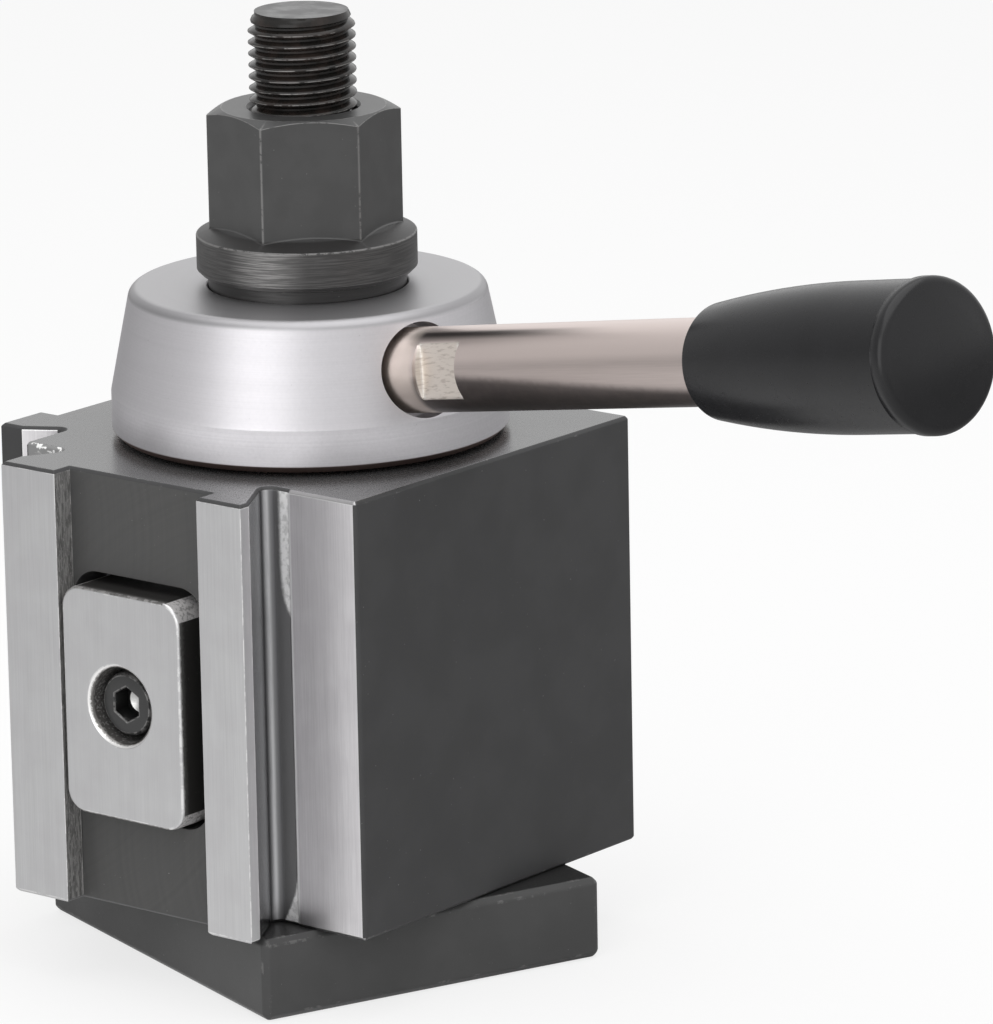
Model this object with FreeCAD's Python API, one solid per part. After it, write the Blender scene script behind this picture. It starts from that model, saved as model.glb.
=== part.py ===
"""Quick-change tool post of the piston type: a post with two dovetails, its cam and its locking plates.

Millimetres, +Z up. The origin is the middle of the T-nut's underside, on the axis of the centre stud.
The front dovetail looks along -Y and the side dovetail along -X. A sub-part of the front lock is drawn
once, and its twin on the side is its mirror image in the plane x = y.
"""
import FreeCAD, Part
import math
import os

Vector = FreeCAD.Vector

# Clearances
RUNNING_FIT = 0.05          # radial gap of the drum, sleeve, pistons and rings in their bores
HUB_RUNNING_FIT = 0.06      # radial gap of the hub on the sleeve, a little wider than the drum's
END_PLAY = 0.1              # gap between faces that turn on each other
THREAD_FIT = 0.05           # radial gap of plain solids that stand for a thread

# T-nut, which slides in the slot of the cross slide
T_NUT_LENGTH = 59.2
T_NUT_WIDTH = 50.4
T_NUT_HEIGHT = 11.0
T_NUT_TURN = -20.5          # degrees about Z, from the post's own direction
T_NUT_CHAMFER = 0.8
T_NUT_FLOOR = 2.0           # metal left under the stud's blind hole, so that it can't push on the slide

# Post body
BODY_HEIGHT = 58.0
PLAIN_FACE = 29.65          # axis to each of the two plain faces
SHOULDER_FACE = 26.5        # axis to the shoulders beside each dovetail
DOVETAIL_FACE = 36.15       # axis to the ground outer faces of each dovetail
DOVETAIL_SLANT = 30.0       # degrees between a flank and the direction that the dovetail looks in
ROOT_RADIUS = 1.2
ROOT_RELIEF_DEPTH = 0.3     # relief cut in the shoulder, beside the near root
ROOT_RELIEF_WIDTH = 4.15    # root to the relief's edge
BODY_EDGE_BREAK = 0.6
BODY_TOP_CHAMFER = 0.4
FRONT_NEAR_EDGE = 18.74     # axis to the dovetail's edge beside a plain face
FRONT_NEAR_FLAT = 1.66      # depth of the flat along that edge
FRONT_FAR_EDGE = 21.97      # axis to the edge beside the other dovetail
FRONT_FAR_FLAT = 3.7
SIDE_NEAR_EDGE = 18.7
SIDE_NEAR_FLAT = 1.66
SIDE_FAR_EDGE = 20.6
SIDE_FAR_FLAT = 3.7
CHANNEL_NEAR_EDGE = 11.29   # shallow channel down the middle of each dovetail
CHANNEL_FAR_EDGE = 12.75
CHANNEL_DEPTH = 3.0
BORE_RADIUS = 19.0
FLOOR_THICKNESS = 6.0
RECESS_RADIUS = 13.5        # recess in the underside, for the retaining ring
RECESS_DEPTH = 4.0

# Locks: one plate, piston, screw and keeper pin in each dovetail
LOCK_OFFSET = 2.7           # lock axis to the stud axis, towards the far edge
LOCK_RISE = 28.2            # lock axis above the body's underside
PLATE_OFFSET = 2.25         # plate's middle to the stud axis, towards the far edge
PLATE_RISE = 28.05          # plate's middle above the body's underside
PLATE_WIDTH = 20.05
PLATE_HEIGHT = 30.3
PLATE_THICKNESS = 8.5
PLATE_CORNER_RADIUS = 3.0
PLATE_CHAMFER = 0.25
POCKET_OFFSET = 1.6         # pocket's middle to the stud axis, towards the far edge
POCKET_RISE = 28.55         # pocket's middle above the body's underside
POCKET_SIDE_GAP = 1.075     # mean gap beside the plate
POCKET_END_GAP = 0.9        # mean gap above and below the plate
POCKET_CORNER_GAP = 1.0     # pocket's corner radius over the plate's
PLATE_BACK_GAP = 0.5
COUNTERBORE_RADIUS = 4.95
COUNTERBORE_CHAMFER = 0.55
HEAD_RECESS = 1.3           # screw head below the plate's face
HEAD_RADIUS = 4.25
HEAD_HEIGHT = 5.0
HEAD_CHAMFER = 0.4
SOCKET_ACROSS = 4.0
SOCKET_DEPTH = 2.6
SCREW_RADIUS = 2.5
SCREW_HOLE_GAP = 0.25
SCREW_LENGTH = 12.0
PISTON_RADIUS = 8.0
PISTON_LENGTH = 9.6
PISTON_CHAMFER = 0.4
NOSE_RADIUS = 4.5
NOSE_DOME_RADIUS = 6.0
NOSE_GAP = 0.1              # between the piston's nose and the cam
LOCK_TRAVEL = 1.0           # outward travel at the end of the handle's swing
LOCK_BACK_TRAVEL = 0.1      # inward travel when the handle is swung back
PIN_RADIUS = 2.0
PIN_ENTRY = 1.8             # keeper pin's reach into the slot under the piston
PIN_DISTANCE = 23.0         # stud axis to keeper pin
PIN_CHAMFER = 0.3
SLOT_GAP = 0.3              # spare length of the slot at each end, and depth above the pin

# Cam drum
CAM_CONTACT_RADIUS = 13.9   # cam's radius under a piston, with the handle at rest
CAM_SWING = 50.0            # degrees that the handle swings to lock
CAM_BACK_SWING = 5.0        # degrees that it swings back
CAM_RUN_OUT = 3.0           # degrees that a ramp goes on past its last use, at both ends
NECK_HEIGHT = 18.0
RAMP_POINTS = 8
DRUM_CHAMFER = 0.5

# Sleeve, thrust washer and retaining ring
SLEEVE_RADIUS = 11.0
SLEEVE_BORE_RADIUS = 7.3
SPIGOT_RADIUS = 9.5
SPIGOT_REACH = 2.8          # spigot below the underside of the body's floor
COLLAR_RADIUS = 12.93
COLLAR_SEAT = 6.8           # collar's depth in the hub
COLLAR_RISE = 1.7           # collar above the hub
COLLAR_CHAMFER = 0.35
WASHER_RADIUS = 18.4
WASHER_THICKNESS = 1.5
RING_THICKNESS = 1.2
RING_RADIUS = 11.4
RING_GROOVE_DEPTH = 0.75
RING_LUG_RADIUS = 1.7
RING_LUG_HOLE_RADIUS = 0.7
RING_GAP_ANGLE = 40.0       # degrees

# Hub
HUB_RADIUS = 26.0
HUB_LIFT = 0.5              # hub above the body's top
HUB_HEIGHT = 19.3
HUB_FOOT_CHAMFER = 0.85
HUB_BAND_TOP = 5.6          # top of the straight band above the hub's foot
HUB_CONE_ANGLE = 11.4       # degrees between the cone and the vertical
HUB_TOP_ROUNDING = 1.5
HUB_SPIGOT_RADIUS = 18.9
HUB_SPIGOT_DEPTH = 3.5
DOWEL_RADIUS = 2.5
DOWEL_LENGTH = 20.0
DOWEL_CIRCLE_RADIUS = 15.0
DOWEL_ANGLES = (90.0, -90.0)    # degrees from the handle

# Handle, measured along its own line from beside the stud axis
HANDLE_DIRECTION = -9.88    # degrees about Z, from +X
HANDLE_RISE_ANGLE = 10.5    # degrees above level
HANDLE_SIDE_OFFSET = -1.44  # the line's level distance from the stud axis
HANDLE_HEIGHT = 7.3         # start of the line above the hub's foot
ROD_RADIUS = 5.52
ROD_END_RADIUS = 5.0        # threaded end in the hub
ROD_START = 15.3
ROD_SHOULDER = 21.0
ROD_HOLE_RADIUS = 6.2
ROD_IN_GRIP = 25.0
FLAT_START = 29.7
FLAT_LENGTH = 7.6
FLAT_DEPTH = 1.35
FLAT_ROLL = 5.0             # degrees that the spanner flats lean about the rod
GRIP_START = 83.0
GRIP_NECK_RADIUS = 7.3
GRIP_RADIUS = 9.3
GRIP_BARREL_LENGTH = 25.0   # length over which the grip swells
GRIP_LENGTH = 38.4
GRIP_NECK_ROUNDING = 0.5
GRIP_CAP_RADIUS = 9.6       # end cap, a little wider than the barrel
GRIP_CAP_LENGTH = 2.2
GRIP_RIM_RADIUS = 1.1
GRIP_DOME = 0.8

# Clamp nut and stud
NUT_HEIGHT = 21.75
NUT_ACROSS_FLATS = 22.0
NUT_TURN = 43.97            # degrees from +X to a corner of the hexagon
NUT_FLANGE_RADIUS = 14.4
NUT_FLANGE_CHAMFER = 0.6
NUT_FLANGE_EDGE = 5.15      # top of the flange's rim above its seat
NUT_FLANGE_ANGLE = 21.0     # degrees that the flange's top rises towards the hexagon
NUT_FLANGE_ROUNDING = 0.3
NUT_TOP_RADIUS = 10.7
NUT_TOP_ANGLE = 24.0
STUD_RADIUS = 7.0
STUD_ABOVE_NUT = 12.55
STUD_FOOT_GAP = 0.1         # stud above the floor of its hole
STUD_CHAMFER = 0.95
STUD_POINT_RADIUS = 6.1     # top face of the stud, where its long chamfer ends
STUD_POINT_LENGTH = 2.05

# Levels that follow from the sizes above
BODY_BOTTOM = T_NUT_HEIGHT
BODY_TOP = BODY_BOTTOM + BODY_HEIGHT
FLOOR_BOTTOM = BODY_BOTTOM + RECESS_DEPTH
FLOOR_TOP = FLOOR_BOTTOM + FLOOR_THICKNESS
WASHER_TOP = FLOOR_TOP + WASHER_THICKNESS
DRUM_BOTTOM = WASHER_TOP + END_PLAY
HUB_FOOT = BODY_TOP + HUB_LIFT
HUB_TOP = HUB_FOOT + HUB_HEIGHT
DRUM_TOP = HUB_FOOT - HUB_SPIGOT_DEPTH
COLLAR_BOTTOM = HUB_TOP - COLLAR_SEAT
SLEEVE_TOP = HUB_TOP + COLLAR_RISE
NUT_TOP = SLEEVE_TOP + NUT_HEIGHT
STUD_TOP = NUT_TOP + STUD_ABOVE_NUT
LOCK_LEVEL = BODY_BOTTOM + LOCK_RISE
PLATE_LEVEL = BODY_BOTTOM + PLATE_RISE
POCKET_LEVEL = BODY_BOTTOM + POCKET_RISE

# Distances from the stud axis that follow, outward along a lock
CHANNEL_FLOOR = DOVETAIL_FACE - CHANNEL_DEPTH
PLATE_BACK = DOVETAIL_FACE - PLATE_THICKNESS
POCKET_FLOOR = PLATE_BACK - PLATE_BACK_GAP
HEAD_FACE = DOVETAIL_FACE - HEAD_RECESS
HEAD_SEAT = HEAD_FACE - HEAD_HEIGHT
PISTON_FRONT = PLATE_BACK - PISTON_LENGTH
DOME_REACH = CAM_CONTACT_RADIUS + NOSE_GAP + NOSE_DOME_RADIUS
DOME_CENTRE = math.sqrt(DOME_REACH ** 2 - LOCK_OFFSET ** 2)
NOSE_TIP = DOME_CENTRE - NOSE_DOME_RADIUS


def disc(radius, bottom, top, x=0.0, y=0.0):
    """Upright cylinder between two levels."""
    return Part.makeCylinder(radius, top - bottom, Vector(x, y, bottom))


def lock_rod(radius, inner, outer):
    """Cylinder on the front lock's axis, between two distances from the stud axis."""
    start = Vector(-LOCK_OFFSET, -inner, LOCK_LEVEL)
    return Part.makeCylinder(radius, outer - inner, start, Vector(0, -1, 0))


def on_side(front_shape):
    """Twin of a front sub-part for the side dovetail."""
    return front_shape.mirror(Vector(0, 0, 0), Vector(1, -1, 0))


def outline_face(corners, place):
    """Flat face through corners (a, b, rounding). place turns each (a, b) into a point in space."""
    rounded = []
    for index, (a, b, rounding) in enumerate(corners):
        here = Vector(a, b, 0)
        before = corners[index - 1]
        after = corners[(index + 1) % len(corners)]
        back = (Vector(before[0], before[1], 0) - here).normalize()
        onward = (Vector(after[0], after[1], 0) - here).normalize()
        half_angle = back.getAngle(onward) / 2
        if rounding == 0:
            rounded.append((here, here, here))
            continue
        reach = rounding / math.tan(half_angle)
        inward = (back + onward).normalize() * (rounding / math.sin(half_angle) - rounding)
        rounded.append((here + back * reach, here + inward, here + onward * reach))
    edges = []
    for index, (start, middle, end) in enumerate(rounded):
        if start.distanceToPoint(end) > 1e-6:
            edges.append(Part.Arc(place(start), place(middle), place(end)).toShape())
        following = rounded[(index + 1) % len(rounded)][0]
        if end.distanceToPoint(following) > 1e-6:
            edges.append(Part.makeLine(place(end), place(following)))
    return Part.Face(Part.Wire(edges))


def turned(corners):
    """Solid of revolution about the stud axis. Corners are (radius, level, rounding)."""
    profile = outline_face(corners, lambda point: Vector(point.x, 0, point.y))
    return profile.revolve(Vector(0, 0, 0), Vector(0, 0, 1), 360)


def edges_at_level(shape, level):
    """Edges that lie flat at one level."""
    return [edge for edge in shape.Edges
            if abs(edge.BoundBox.ZMin - level) < 1e-4 and abs(edge.BoundBox.ZMax - level) < 1e-4]


def dovetail_corners(near_edge, near_flat, far_edge, far_flat):
    """Part of the body's outline: one dovetail, from its far root to the relief beside its near root.

    Each corner is (along, outward, rounding), with along counted from the stud axis towards the
    near edge.
    """
    slant = math.tan(math.radians(DOVETAIL_SLANT))
    relief = SHOULDER_FACE - ROOT_RELIEF_DEPTH
    far_root = -far_edge + (DOVETAIL_FACE - SHOULDER_FACE - far_flat) * slant
    near_root = near_edge - (DOVETAIL_FACE - relief - near_flat) * slant
    return [
        (far_root, SHOULDER_FACE, ROOT_RADIUS),
        (-far_edge, DOVETAIL_FACE - far_flat, 0),
        (-far_edge, DOVETAIL_FACE, 0),
        (-CHANNEL_FAR_EDGE, DOVETAIL_FACE, 0),
        (-CHANNEL_FAR_EDGE, CHANNEL_FLOOR, 0),
        (CHANNEL_NEAR_EDGE, CHANNEL_FLOOR, 0),
        (CHANNEL_NEAR_EDGE, DOVETAIL_FACE, 0),
        (near_edge, DOVETAIL_FACE, 0),
        (near_edge, DOVETAIL_FACE - near_flat, 0),
        (near_root, relief, ROOT_RADIUS),
        (near_root + ROOT_RELIEF_WIDTH, relief, 0),
        (near_root + ROOT_RELIEF_WIDTH + ROOT_RELIEF_DEPTH, SHOULDER_FACE, 0),
    ]


def body_outline():
    front = dovetail_corners(FRONT_NEAR_EDGE, FRONT_NEAR_FLAT, FRONT_FAR_EDGE, FRONT_FAR_FLAT)
    side = dovetail_corners(SIDE_NEAR_EDGE, SIDE_NEAR_FLAT, SIDE_FAR_EDGE, SIDE_FAR_FLAT)
    corners = [(along, -outward, rounding) for along, outward, rounding in front]
    corners.append((PLAIN_FACE, -SHOULDER_FACE, BODY_EDGE_BREAK))
    corners.append((PLAIN_FACE, PLAIN_FACE, BODY_EDGE_BREAK))
    corners.append((-SHOULDER_FACE, PLAIN_FACE, BODY_EDGE_BREAK))
    corners += [(-outward, along, rounding) for along, outward, rounding in reversed(side)]
    corners.append((-SHOULDER_FACE, -SHOULDER_FACE, BODY_EDGE_BREAK))
    return corners


def upright_plate(offset, level, width, height, corner_radius, inner, outer):
    """Rounded plate about a level of the front side, between two distances from the stud axis."""
    left, right = -offset - width / 2, -offset + width / 2
    low, high = level - height / 2, level + height / 2
    corners = [(a, b, corner_radius) for a, b in
               ((left, low), (right, low), (right, high), (left, high))]
    face = outline_face(corners, lambda point: Vector(point.x, -inner, point.y))
    return face.extrude(Vector(0, inner - outer, 0))


def lock_pocket():
    """What is cut from the body for the front lock: pocket, piston bore and keeper pin hole."""
    width = PLATE_WIDTH + 2 * POCKET_SIDE_GAP
    height = PLATE_HEIGHT + 2 * POCKET_END_GAP
    corner_radius = PLATE_CORNER_RADIUS + POCKET_CORNER_GAP
    pocket = upright_plate(POCKET_OFFSET, POCKET_LEVEL, width, height, corner_radius,
                           POCKET_FLOOR, DOVETAIL_FACE)
    bore = lock_rod(PISTON_RADIUS + RUNNING_FIT, 0, DOVETAIL_FACE)
    pin_hole = disc(PIN_RADIUS, BODY_BOTTOM, LOCK_LEVEL, -LOCK_OFFSET, -PIN_DISTANCE)
    return [pocket, bore, pin_hole]


def post_body():
    face = outline_face(body_outline(), lambda point: Vector(point.x, point.y, BODY_BOTTOM))
    block = face.extrude(Vector(0, 0, BODY_HEIGHT))
    block = block.makeChamfer(BODY_TOP_CHAMFER, edges_at_level(block, BODY_TOP))
    block = block.makeChamfer(BODY_TOP_CHAMFER, edges_at_level(block, BODY_BOTTOM))
    cuts = [disc(BORE_RADIUS, FLOOR_TOP, BODY_TOP),
            disc(SPIGOT_RADIUS + RUNNING_FIT, BODY_BOTTOM, BODY_TOP),
            disc(RECESS_RADIUS, BODY_BOTTOM, FLOOR_BOTTOM)]
    cuts += lock_pocket()
    cuts += [on_side(cut) for cut in lock_pocket()]
    return block.cut(cuts)


def t_nut():
    nut = Part.makeBox(T_NUT_LENGTH, T_NUT_WIDTH, T_NUT_HEIGHT,
                       Vector(-T_NUT_LENGTH / 2, -T_NUT_WIDTH / 2, 0))
    nut = nut.makeChamfer(T_NUT_CHAMFER, nut.Edges)
    nut = nut.cut(disc(STUD_RADIUS + THREAD_FIT, T_NUT_FLOOR, T_NUT_HEIGHT))
    nut.rotate(Vector(0, 0, 0), Vector(0, 0, 1), T_NUT_TURN)
    return nut


def centre_stud():
    foot = T_NUT_FLOOR + STUD_FOOT_GAP
    return turned([(0, foot, 0),
                   (STUD_RADIUS - STUD_CHAMFER, foot, 0),
                   (STUD_RADIUS, foot + STUD_CHAMFER, 0),
                   (STUD_RADIUS, STUD_TOP - STUD_POINT_LENGTH, 0),
                   (STUD_POINT_RADIUS, STUD_TOP, 0),
                   (0, STUD_TOP, 0)])


def clamp_nut():
    """Hexagon nut with a flange whose seat bears on the sleeve's collar."""
    corner_radius = NUT_ACROSS_FLATS / 2 / math.cos(math.radians(30))
    flange_edge = SLEEVE_TOP + NUT_FLANGE_EDGE
    rise = NUT_FLANGE_RADIUS * math.tan(math.radians(NUT_FLANGE_ANGLE))
    flange = turned([(0, SLEEVE_TOP, 0),
                     (NUT_FLANGE_RADIUS - NUT_FLANGE_CHAMFER, SLEEVE_TOP, 0),
                     (NUT_FLANGE_RADIUS, SLEEVE_TOP + NUT_FLANGE_CHAMFER, 0),
                     (NUT_FLANGE_RADIUS, flange_edge, NUT_FLANGE_ROUNDING),
                     (0, flange_edge + rise, 0)])
    drop = (corner_radius + 1 - NUT_TOP_RADIUS) * math.tan(math.radians(NUT_TOP_ANGLE))
    envelope = turned([(0, SLEEVE_TOP, 0), (corner_radius + 1, SLEEVE_TOP, 0),
                       (corner_radius + 1, NUT_TOP - drop, 0), (NUT_TOP_RADIUS, NUT_TOP, 0),
                       (0, NUT_TOP, 0)])
    angles = [math.radians(NUT_TURN + 60 * corner) for corner in range(6)]
    corners = [(corner_radius * math.cos(angle), corner_radius * math.sin(angle), 0) for angle in angles]
    hexagon = outline_face(corners, lambda point: Vector(point.x, point.y, SLEEVE_TOP))
    hexagon = hexagon.extrude(Vector(0, 0, NUT_HEIGHT)).common(envelope)
    nut = flange.fuse(hexagon).removeSplitter()
    nut = nut.cut(disc(STUD_RADIUS + THREAD_FIT, SLEEVE_TOP, NUT_TOP))
    mouth = [edge for edge in edges_at_level(nut, NUT_TOP) + edges_at_level(nut, SLEEVE_TOP)
             if edge.BoundBox.XLength < 2 * STUD_RADIUS + 1]
    return nut.makeChamfer(STUD_CHAMFER, mouth)


def centre_sleeve():
    """Fixed sleeve that takes the nut's force down to the body's floor, and that hub and drum turn on."""
    ring_groove_top = FLOOR_BOTTOM - END_PLAY
    groove_bottom = ring_groove_top - RING_THICKNESS
    spigot_bottom = FLOOR_BOTTOM - SPIGOT_REACH
    groove_radius = SPIGOT_RADIUS - RING_GROOVE_DEPTH
    return turned([(SLEEVE_BORE_RADIUS, spigot_bottom, 0),
                   (SPIGOT_RADIUS, spigot_bottom, 0),
                   (SPIGOT_RADIUS, groove_bottom, 0),
                   (groove_radius, groove_bottom, 0),
                   (groove_radius, ring_groove_top, 0),
                   (SPIGOT_RADIUS, ring_groove_top, 0),
                   (SPIGOT_RADIUS, FLOOR_TOP, 0),
                   (SLEEVE_RADIUS, FLOOR_TOP, 0),
                   (SLEEVE_RADIUS, COLLAR_BOTTOM, 0),
                   (COLLAR_RADIUS, COLLAR_BOTTOM, 0),
                   (COLLAR_RADIUS, SLEEVE_TOP - COLLAR_CHAMFER, 0),
                   (COLLAR_RADIUS - COLLAR_CHAMFER, SLEEVE_TOP, 0),
                   (SLEEVE_BORE_RADIUS, SLEEVE_TOP, 0)])


def retaining_ring():
    """Open spring ring in the spigot's groove, widest opposite its gap, with a lug at each end."""
    top = FLOOR_BOTTOM - END_PLAY
    bottom = top - RING_THICKNESS
    inner = SPIGOT_RADIUS - RING_GROOVE_DEPTH + RUNNING_FIT
    shift = (RECESS_RADIUS - RING_RADIUS) / 2 - END_PLAY
    ring = disc(RING_RADIUS, bottom, top, 0, shift)
    half_gap = math.radians(RING_GAP_ANGLE / 2)
    lug_distance = inner + RING_LUG_RADIUS
    for side in (-1, 1):
        x = side * lug_distance * math.sin(half_gap)
        y = -lug_distance * math.cos(half_gap)
        lug = disc(RING_LUG_RADIUS, bottom, top, x, y)
        hole = disc(RING_LUG_HOLE_RADIUS, bottom, top, x, y)
        ring = ring.fuse(lug).cut(hole)
    reach = 2 * RECESS_RADIUS
    gap_x = reach * math.tan(half_gap)
    gap = outline_face([(0, 0, 0), (-gap_x, -reach, 0), (gap_x, -reach, 0)],
                       lambda point: Vector(point.x, point.y, bottom))
    inset = RING_LUG_RADIUS / math.sin(half_gap)
    gap.translate(Vector(0, -inset, 0))
    ring = ring.cut([disc(inner, bottom, top), gap.extrude(Vector(0, 0, RING_THICKNESS))])
    return ring.removeSplitter()


def thrust_washer():
    washer = disc(WASHER_RADIUS, FLOOR_TOP, WASHER_TOP)
    return washer.cut(disc(SLEEVE_RADIUS + RUNNING_FIT, FLOOR_TOP, WASHER_TOP))


def cam_radius(swing):
    """Radius of the cam under a piston, after a swing of the handle in degrees."""
    return CAM_CONTACT_RADIUS + LOCK_TRAVEL * swing / CAM_SWING


def cam_profile():
    """Neck of the drum: a plain round with one spiral ramp for each piston."""
    front_angle = math.degrees(math.atan2(-DOME_CENTRE, -LOCK_OFFSET)) % 360
    side_angle = math.degrees(math.atan2(-LOCK_OFFSET, -DOME_CENTRE)) % 360
    first = -CAM_BACK_SWING - CAM_RUN_OUT
    last = CAM_SWING + CAM_RUN_OUT

    def point(contact_angle, swing):
        angle = math.radians(contact_angle + swing)
        radius = cam_radius(swing)
        return Vector(radius * math.cos(angle), radius * math.sin(angle), 0)

    edges = []
    for contact_angle in (side_angle, front_angle):
        ramp = Part.BSplineCurve()
        ramp.interpolate([point(contact_angle, first + (last - first) * step / RAMP_POINTS)
                          for step in range(RAMP_POINTS + 1)])
        edges.append(ramp.toShape())
    edges.append(Part.makeLine(point(side_angle, last), point(front_angle, first)))
    plain_radius = cam_radius(first)
    plain_start = math.radians(front_angle + last + 2 * CAM_RUN_OUT)
    plain_end = math.radians(side_angle + first + 360)
    plain_middle = (plain_start + plain_end) / 2
    arc_points = [Vector(plain_radius * math.cos(angle), plain_radius * math.sin(angle), 0)
                  for angle in (plain_start, plain_middle, plain_end)]
    edges.append(Part.makeLine(point(front_angle, last), arc_points[0]))
    edges.append(Part.Arc(*arc_points).toShape())
    return Part.Face(Part.Wire(Part.__sortEdges__(edges)))


def cam_drum():
    neck_bottom = LOCK_LEVEL - NECK_HEIGHT / 2
    neck_top = LOCK_LEVEL + NECK_HEIGHT / 2
    radius = BORE_RADIUS - RUNNING_FIT
    drum = disc(radius, DRUM_BOTTOM, DRUM_TOP)
    drum = drum.makeChamfer(DRUM_CHAMFER, edges_at_level(drum, DRUM_BOTTOM) + edges_at_level(drum, DRUM_TOP))
    track = disc(BORE_RADIUS, neck_bottom, neck_top)
    profile = cam_profile()
    profile.translate(Vector(0, 0, neck_bottom))
    track = track.cut(profile.extrude(Vector(0, 0, NECK_HEIGHT)))
    bore = disc(SLEEVE_RADIUS + RUNNING_FIT, DRUM_BOTTOM, DRUM_TOP)
    return drum.cut([track, bore] + dowels())


def dowels():
    """Two plain pins across the joint between the drum and the hub."""
    pins = []
    for angle in DOWEL_ANGLES:
        turn = math.radians(HANDLE_DIRECTION + angle)
        x = DOWEL_CIRCLE_RADIUS * math.cos(turn)
        y = DOWEL_CIRCLE_RADIUS * math.sin(turn)
        half = DOWEL_LENGTH / 2
        pins.append(disc(DOWEL_RADIUS, DRUM_TOP - half, DRUM_TOP + half, x, y))
    return pins


def chamfered_ends(pin):
    """The same upright pin with a small chamfer at both ends."""
    ends = edges_at_level(pin, pin.BoundBox.ZMin) + edges_at_level(pin, pin.BoundBox.ZMax)
    return pin.makeChamfer(PIN_CHAMFER, ends)


def hub_dowel_pins():
    return Part.makeCompound([chamfered_ends(pin) for pin in dowels()])


def along_handle(shape):
    """Moves a shape drawn along +X to the handle's line."""
    aim = FreeCAD.Rotation(Vector(0, 0, 1), HANDLE_DIRECTION)
    aim = aim.multiply(FreeCAD.Rotation(Vector(0, 1, 0), -HANDLE_RISE_ANGLE))
    side = FreeCAD.Rotation(Vector(0, 0, 1), HANDLE_DIRECTION).multVec(Vector(0, HANDLE_SIDE_OFFSET, 0))
    start = side + Vector(0, 0, HUB_FOOT + HANDLE_HEIGHT)
    shape.Placement = FreeCAD.Placement(start, aim)
    return shape


def level_rod(radius, start, end):
    """Cylinder along +X, before it is moved to the handle's line."""
    return Part.makeCylinder(radius, end - start, Vector(start, 0, 0), Vector(1, 0, 0))


def handle_hub():
    """Silver hub with a straight band and a cone, turned on the sleeve and pinned to the drum."""
    cone_shrink = (HUB_HEIGHT - HUB_BAND_TOP) * math.tan(math.radians(HUB_CONE_ANGLE))
    collar_hole = COLLAR_RADIUS + 2 * RUNNING_FIT
    collar_seat = COLLAR_BOTTOM - END_PLAY
    bore = SLEEVE_RADIUS + HUB_RUNNING_FIT
    hub = turned([(bore, DRUM_TOP, 0),
                  (HUB_SPIGOT_RADIUS, DRUM_TOP, 0),
                  (HUB_SPIGOT_RADIUS, HUB_FOOT, 0),
                  (HUB_RADIUS - HUB_FOOT_CHAMFER, HUB_FOOT, 0),
                  (HUB_RADIUS, HUB_FOOT + HUB_FOOT_CHAMFER, 0),
                  (HUB_RADIUS, HUB_FOOT + HUB_BAND_TOP, 0),
                  (HUB_RADIUS - cone_shrink, HUB_TOP, HUB_TOP_ROUNDING),
                  (collar_hole, HUB_TOP, 0),
                  (collar_hole, collar_seat, 0),
                  (bore, collar_seat, 0)])
    hole = [along_handle(level_rod(ROD_END_RADIUS + THREAD_FIT, ROD_START - END_PLAY, ROD_SHOULDER)),
            along_handle(level_rod(ROD_HOLE_RADIUS, ROD_SHOULDER, 2 * HUB_RADIUS))]
    return hub.cut(hole + dowels())


def handle_rod():
    """Plated rod with a threaded end in the hub and two flats for a spanner."""
    shank = level_rod(ROD_RADIUS, ROD_SHOULDER, GRIP_START + ROD_IN_GRIP)
    rod = shank.fuse(level_rod(ROD_END_RADIUS, ROD_START, ROD_SHOULDER))
    for side in (-1, 1):
        near = side * (ROD_RADIUS - FLAT_DEPTH)
        far = side * 2 * ROD_RADIUS
        flat = Part.makeBox(FLAT_LENGTH, abs(far - near), 4 * ROD_RADIUS,
                            Vector(FLAT_START, min(near, far), -2 * ROD_RADIUS))
        flat.rotate(Vector(0, 0, 0), Vector(1, 0, 0), -FLAT_ROLL)
        rod = rod.cut(flat)
    return along_handle(rod)


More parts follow.
